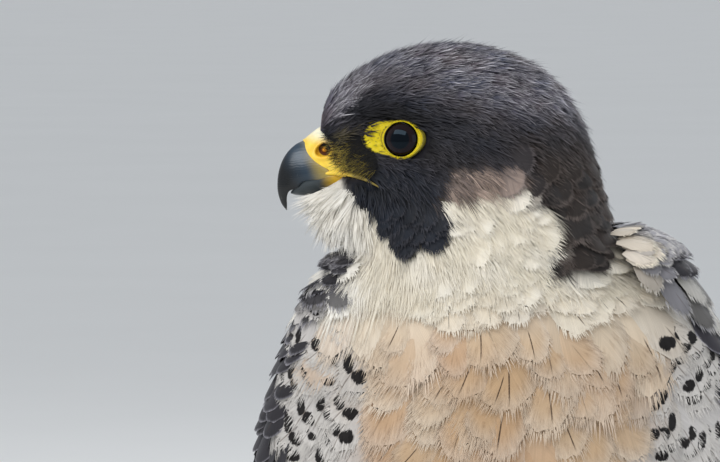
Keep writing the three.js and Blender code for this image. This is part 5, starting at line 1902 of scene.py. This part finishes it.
def make_stage():
    """The camera of the photo's view, a plain pale floor and soft studio light."""
    scene = bpy.context.scene
    data = bpy.data.cameras.new("camera")
    data.lens, data.sensor_width = VIEW["lens"], VIEW["sensor"]
    data.clip_end = 200.0
    camera = bpy.data.objects.new("camera", data)
    rise = math.radians(VIEW["rise"])
    target = (np.array(VIEW["target"]) + PLACE) * MM
    camera.location = target + VIEW["distance"] * MM * np.array([0, -math.cos(rise), math.sin(rise)])
    camera.rotation_euler = (math.pi / 2 - rise, 0, 0)
    scene.collection.objects.link(camera)
    scene.camera = camera
    for name, (place, size, power, colour) in LIGHTS.items():
        light = bpy.data.lights.new(name, "AREA")
        light.shape = "RECTANGLE"
        light.size, light.size_y = size
        light.energy, light.color = power, colour
        made = bpy.data.objects.new(name, light)
        made.location = place
        away = np.array(place) - AIM
        flat = math.hypot(away[0], away[1])
        made.rotation_euler = (math.atan2(flat, away[2]), 0, math.atan2(away[0], -away[1]))
        scene.collection.objects.link(made)
    world = bpy.data.worlds.new("studio")
    world.use_nodes = True
    for socket, value in WORLD.items():
        world.node_tree.nodes["Background"].inputs[socket].default_value = value
    scene.world = world
    scene.view_settings.view_transform = "Standard"
    mesh = bpy.data.meshes.new("floor")
    h = FLOOR_HALF
    mesh.from_pydata([(-h, -h, 0), (h, -h, 0), (h, h, 0), (-h, h, 0)], [], [(0, 1, 2, 3)])
    floor = bpy.data.objects.new("floor", mesh)
    f = Finish("floor", Roughness=0.8, Specular_IOR_Level=0.2)
    grain = f.noise(f.place(), 3.0)
    f.feed("Base Color", f.mixed(grain, (0.84, 0.84, 0.82, 1), (0.88, 0.88, 0.86, 1)))
    mesh.materials.append(f.material)
    scene.collection.objects.link(floor)


# The add-on's settings, steps and panel


def paint(name, description, code):
    """A colour setting whose default is a web colour, made linear."""
    parts = [int(code[i : i + 2], 16) / 255 for i in (1, 3, 5)]
    linear = [p / 12.92 if p <= 0.04045 else ((p + 0.055) / 1.055) ** 2.4 for p in parts]
    return bpy.props.FloatVectorProperty(
        name=name, description=description, subtype="COLOR", size=3, min=0, max=1, default=linear)


def length(name, description, millimetres):
    """A length setting."""
    return bpy.props.FloatProperty(
        name=name, description=description, default=millimetres * MM, min=0, unit="LENGTH", precision=5)


class FalconPaints(bpy.types.PropertyGroup):
    """Colours of the plumage."""
    # Crown and crown tips: the crown's own greyer slate and pale tips, with a painted highlight from above.
    crown: paint("Crown", "Top of the head", "#57535e")
    crown_tip: paint("Crown tips", "Pale tips of the crown's feathers", "#bdbbc0")
    slate: paint("Slate", "Sides of the head", "#25242b")
    nape: paint("Nape", "Back of the head and neck", "#2d2724")
    nape_tip: paint("Nape tips", "Rims of the feathers behind the cheek", "#7a6e68")
    # Brow: the near-black of the brow's painted shadow, used at half behind the eye too.
    brow: paint("Brow", "Over and behind the eye", "#0d0d10")
    moustache: paint("Moustache", "Dark stripe under the eye", "#151a24")
    ear: paint("Ear", "Over the pale cheek", "#bba597")
    tip: paint("Dark tips", "Rims of the dark feathers of the head", "#6d6a70")
    cream: paint("Cream", "Cheek and upper breast", "#e9e1cf")
    white: paint("White", "Throat and fringes", "#f1ede4")
    buff: paint("Buff", "Breast", "#b99b79")
    salmon: paint("Salmon", "Warm patches of the breast", "#b98e70")
    flank: paint("Flank", "Flanks, belly and thighs", "#bfbbb8")
    wing: paint("Wing", "Mantle and wings", "#2c2a2f")
    wing_rim: paint("Wing rims", "Pale rims of mantle and wing feathers", "#8b8990")
    cape: paint("Cape", "Pale grey feathers over the shoulder", "#a7a5aa")
    lores: paint("Lores", "Bare skin in front of the eye", "#84742a")
    tail: paint("Tail", "Tail", "#55555c")


class FalconSizes(bpy.types.PropertyGroup):
    """Sizes of the coat and the eyes."""
    coat_depth: length("Coat depth", "How deep the skin lies under the coat of the trunk", 4.0)
    eye_radius: length("Eye radius", "Radius of an eyeball", EYE["radius"])


def operator(name, description, work):
    """An operator that does one step of the build."""
    def execute(self, context):
        work()
        return {"FINISHED"}
    members = {"bl_idname": "falcon." + name, "bl_label": name.title(), "__doc__": description,
               "execute": execute}
    return type("FALCON_OT_" + name, (bpy.types.Operator,), members)


STEPS = [
    operator("stage", "Adds the camera, the floor and the lights", make_stage),
    operator("skin", "Adds the skin under the feathers", make_skin),
    operator("bill", "Adds the cere and both halves of the bill", make_bill),
    operator("eyes", "Adds the eyes and the bare rings round them", make_eyes),
    operator("bristles", "Adds the bristles in front of the eyes", make_bristles),
    operator("coat", "Adds the feathers of head and trunk", make_coat),
    operator("wings", "Adds the feathers of the wings", make_wings),
    operator("tail", "Adds the tail and its coverts", make_tail),
    operator("thighs", "Adds the feathers of the thighs", make_thighs),
    operator("legs", "Adds the shanks, feet and claws", make_legs),
]


class FALCON_PT_panel(bpy.types.Panel):
    """The falcon's settings and steps."""
    bl_label = "Peregrine falcon"
    bl_space_type = "VIEW_3D"
    bl_region_type = "UI"
    bl_category = "Falcon"

    def draw(self, context):
        for group in (context.scene.falcon_sizes, context.scene.falcon_paints):
            for name in group.__annotations__:
                self.layout.prop(group, name)
        for made in STEPS:
            self.layout.operator(made.bl_idname)


CLASSES = [FalconPaints, FalconSizes, *STEPS, FALCON_PT_panel]


def register():
    for made in CLASSES:
        bpy.utils.register_class(made)
    bpy.types.Scene.falcon_paints = bpy.props.PointerProperty(type=FalconPaints)
    bpy.types.Scene.falcon_sizes = bpy.props.PointerProperty(type=FalconSizes)


def unregister():
    del bpy.types.Scene.falcon_paints
    del bpy.types.Scene.falcon_sizes
    for made in reversed(CLASSES):
        bpy.utils.unregister_class(made)


def main():
    register()
    for made in STEPS:
        getattr(bpy.ops.falcon, made.bl_idname.split(".")[1])()


if __name__ == "__main__":
    main()
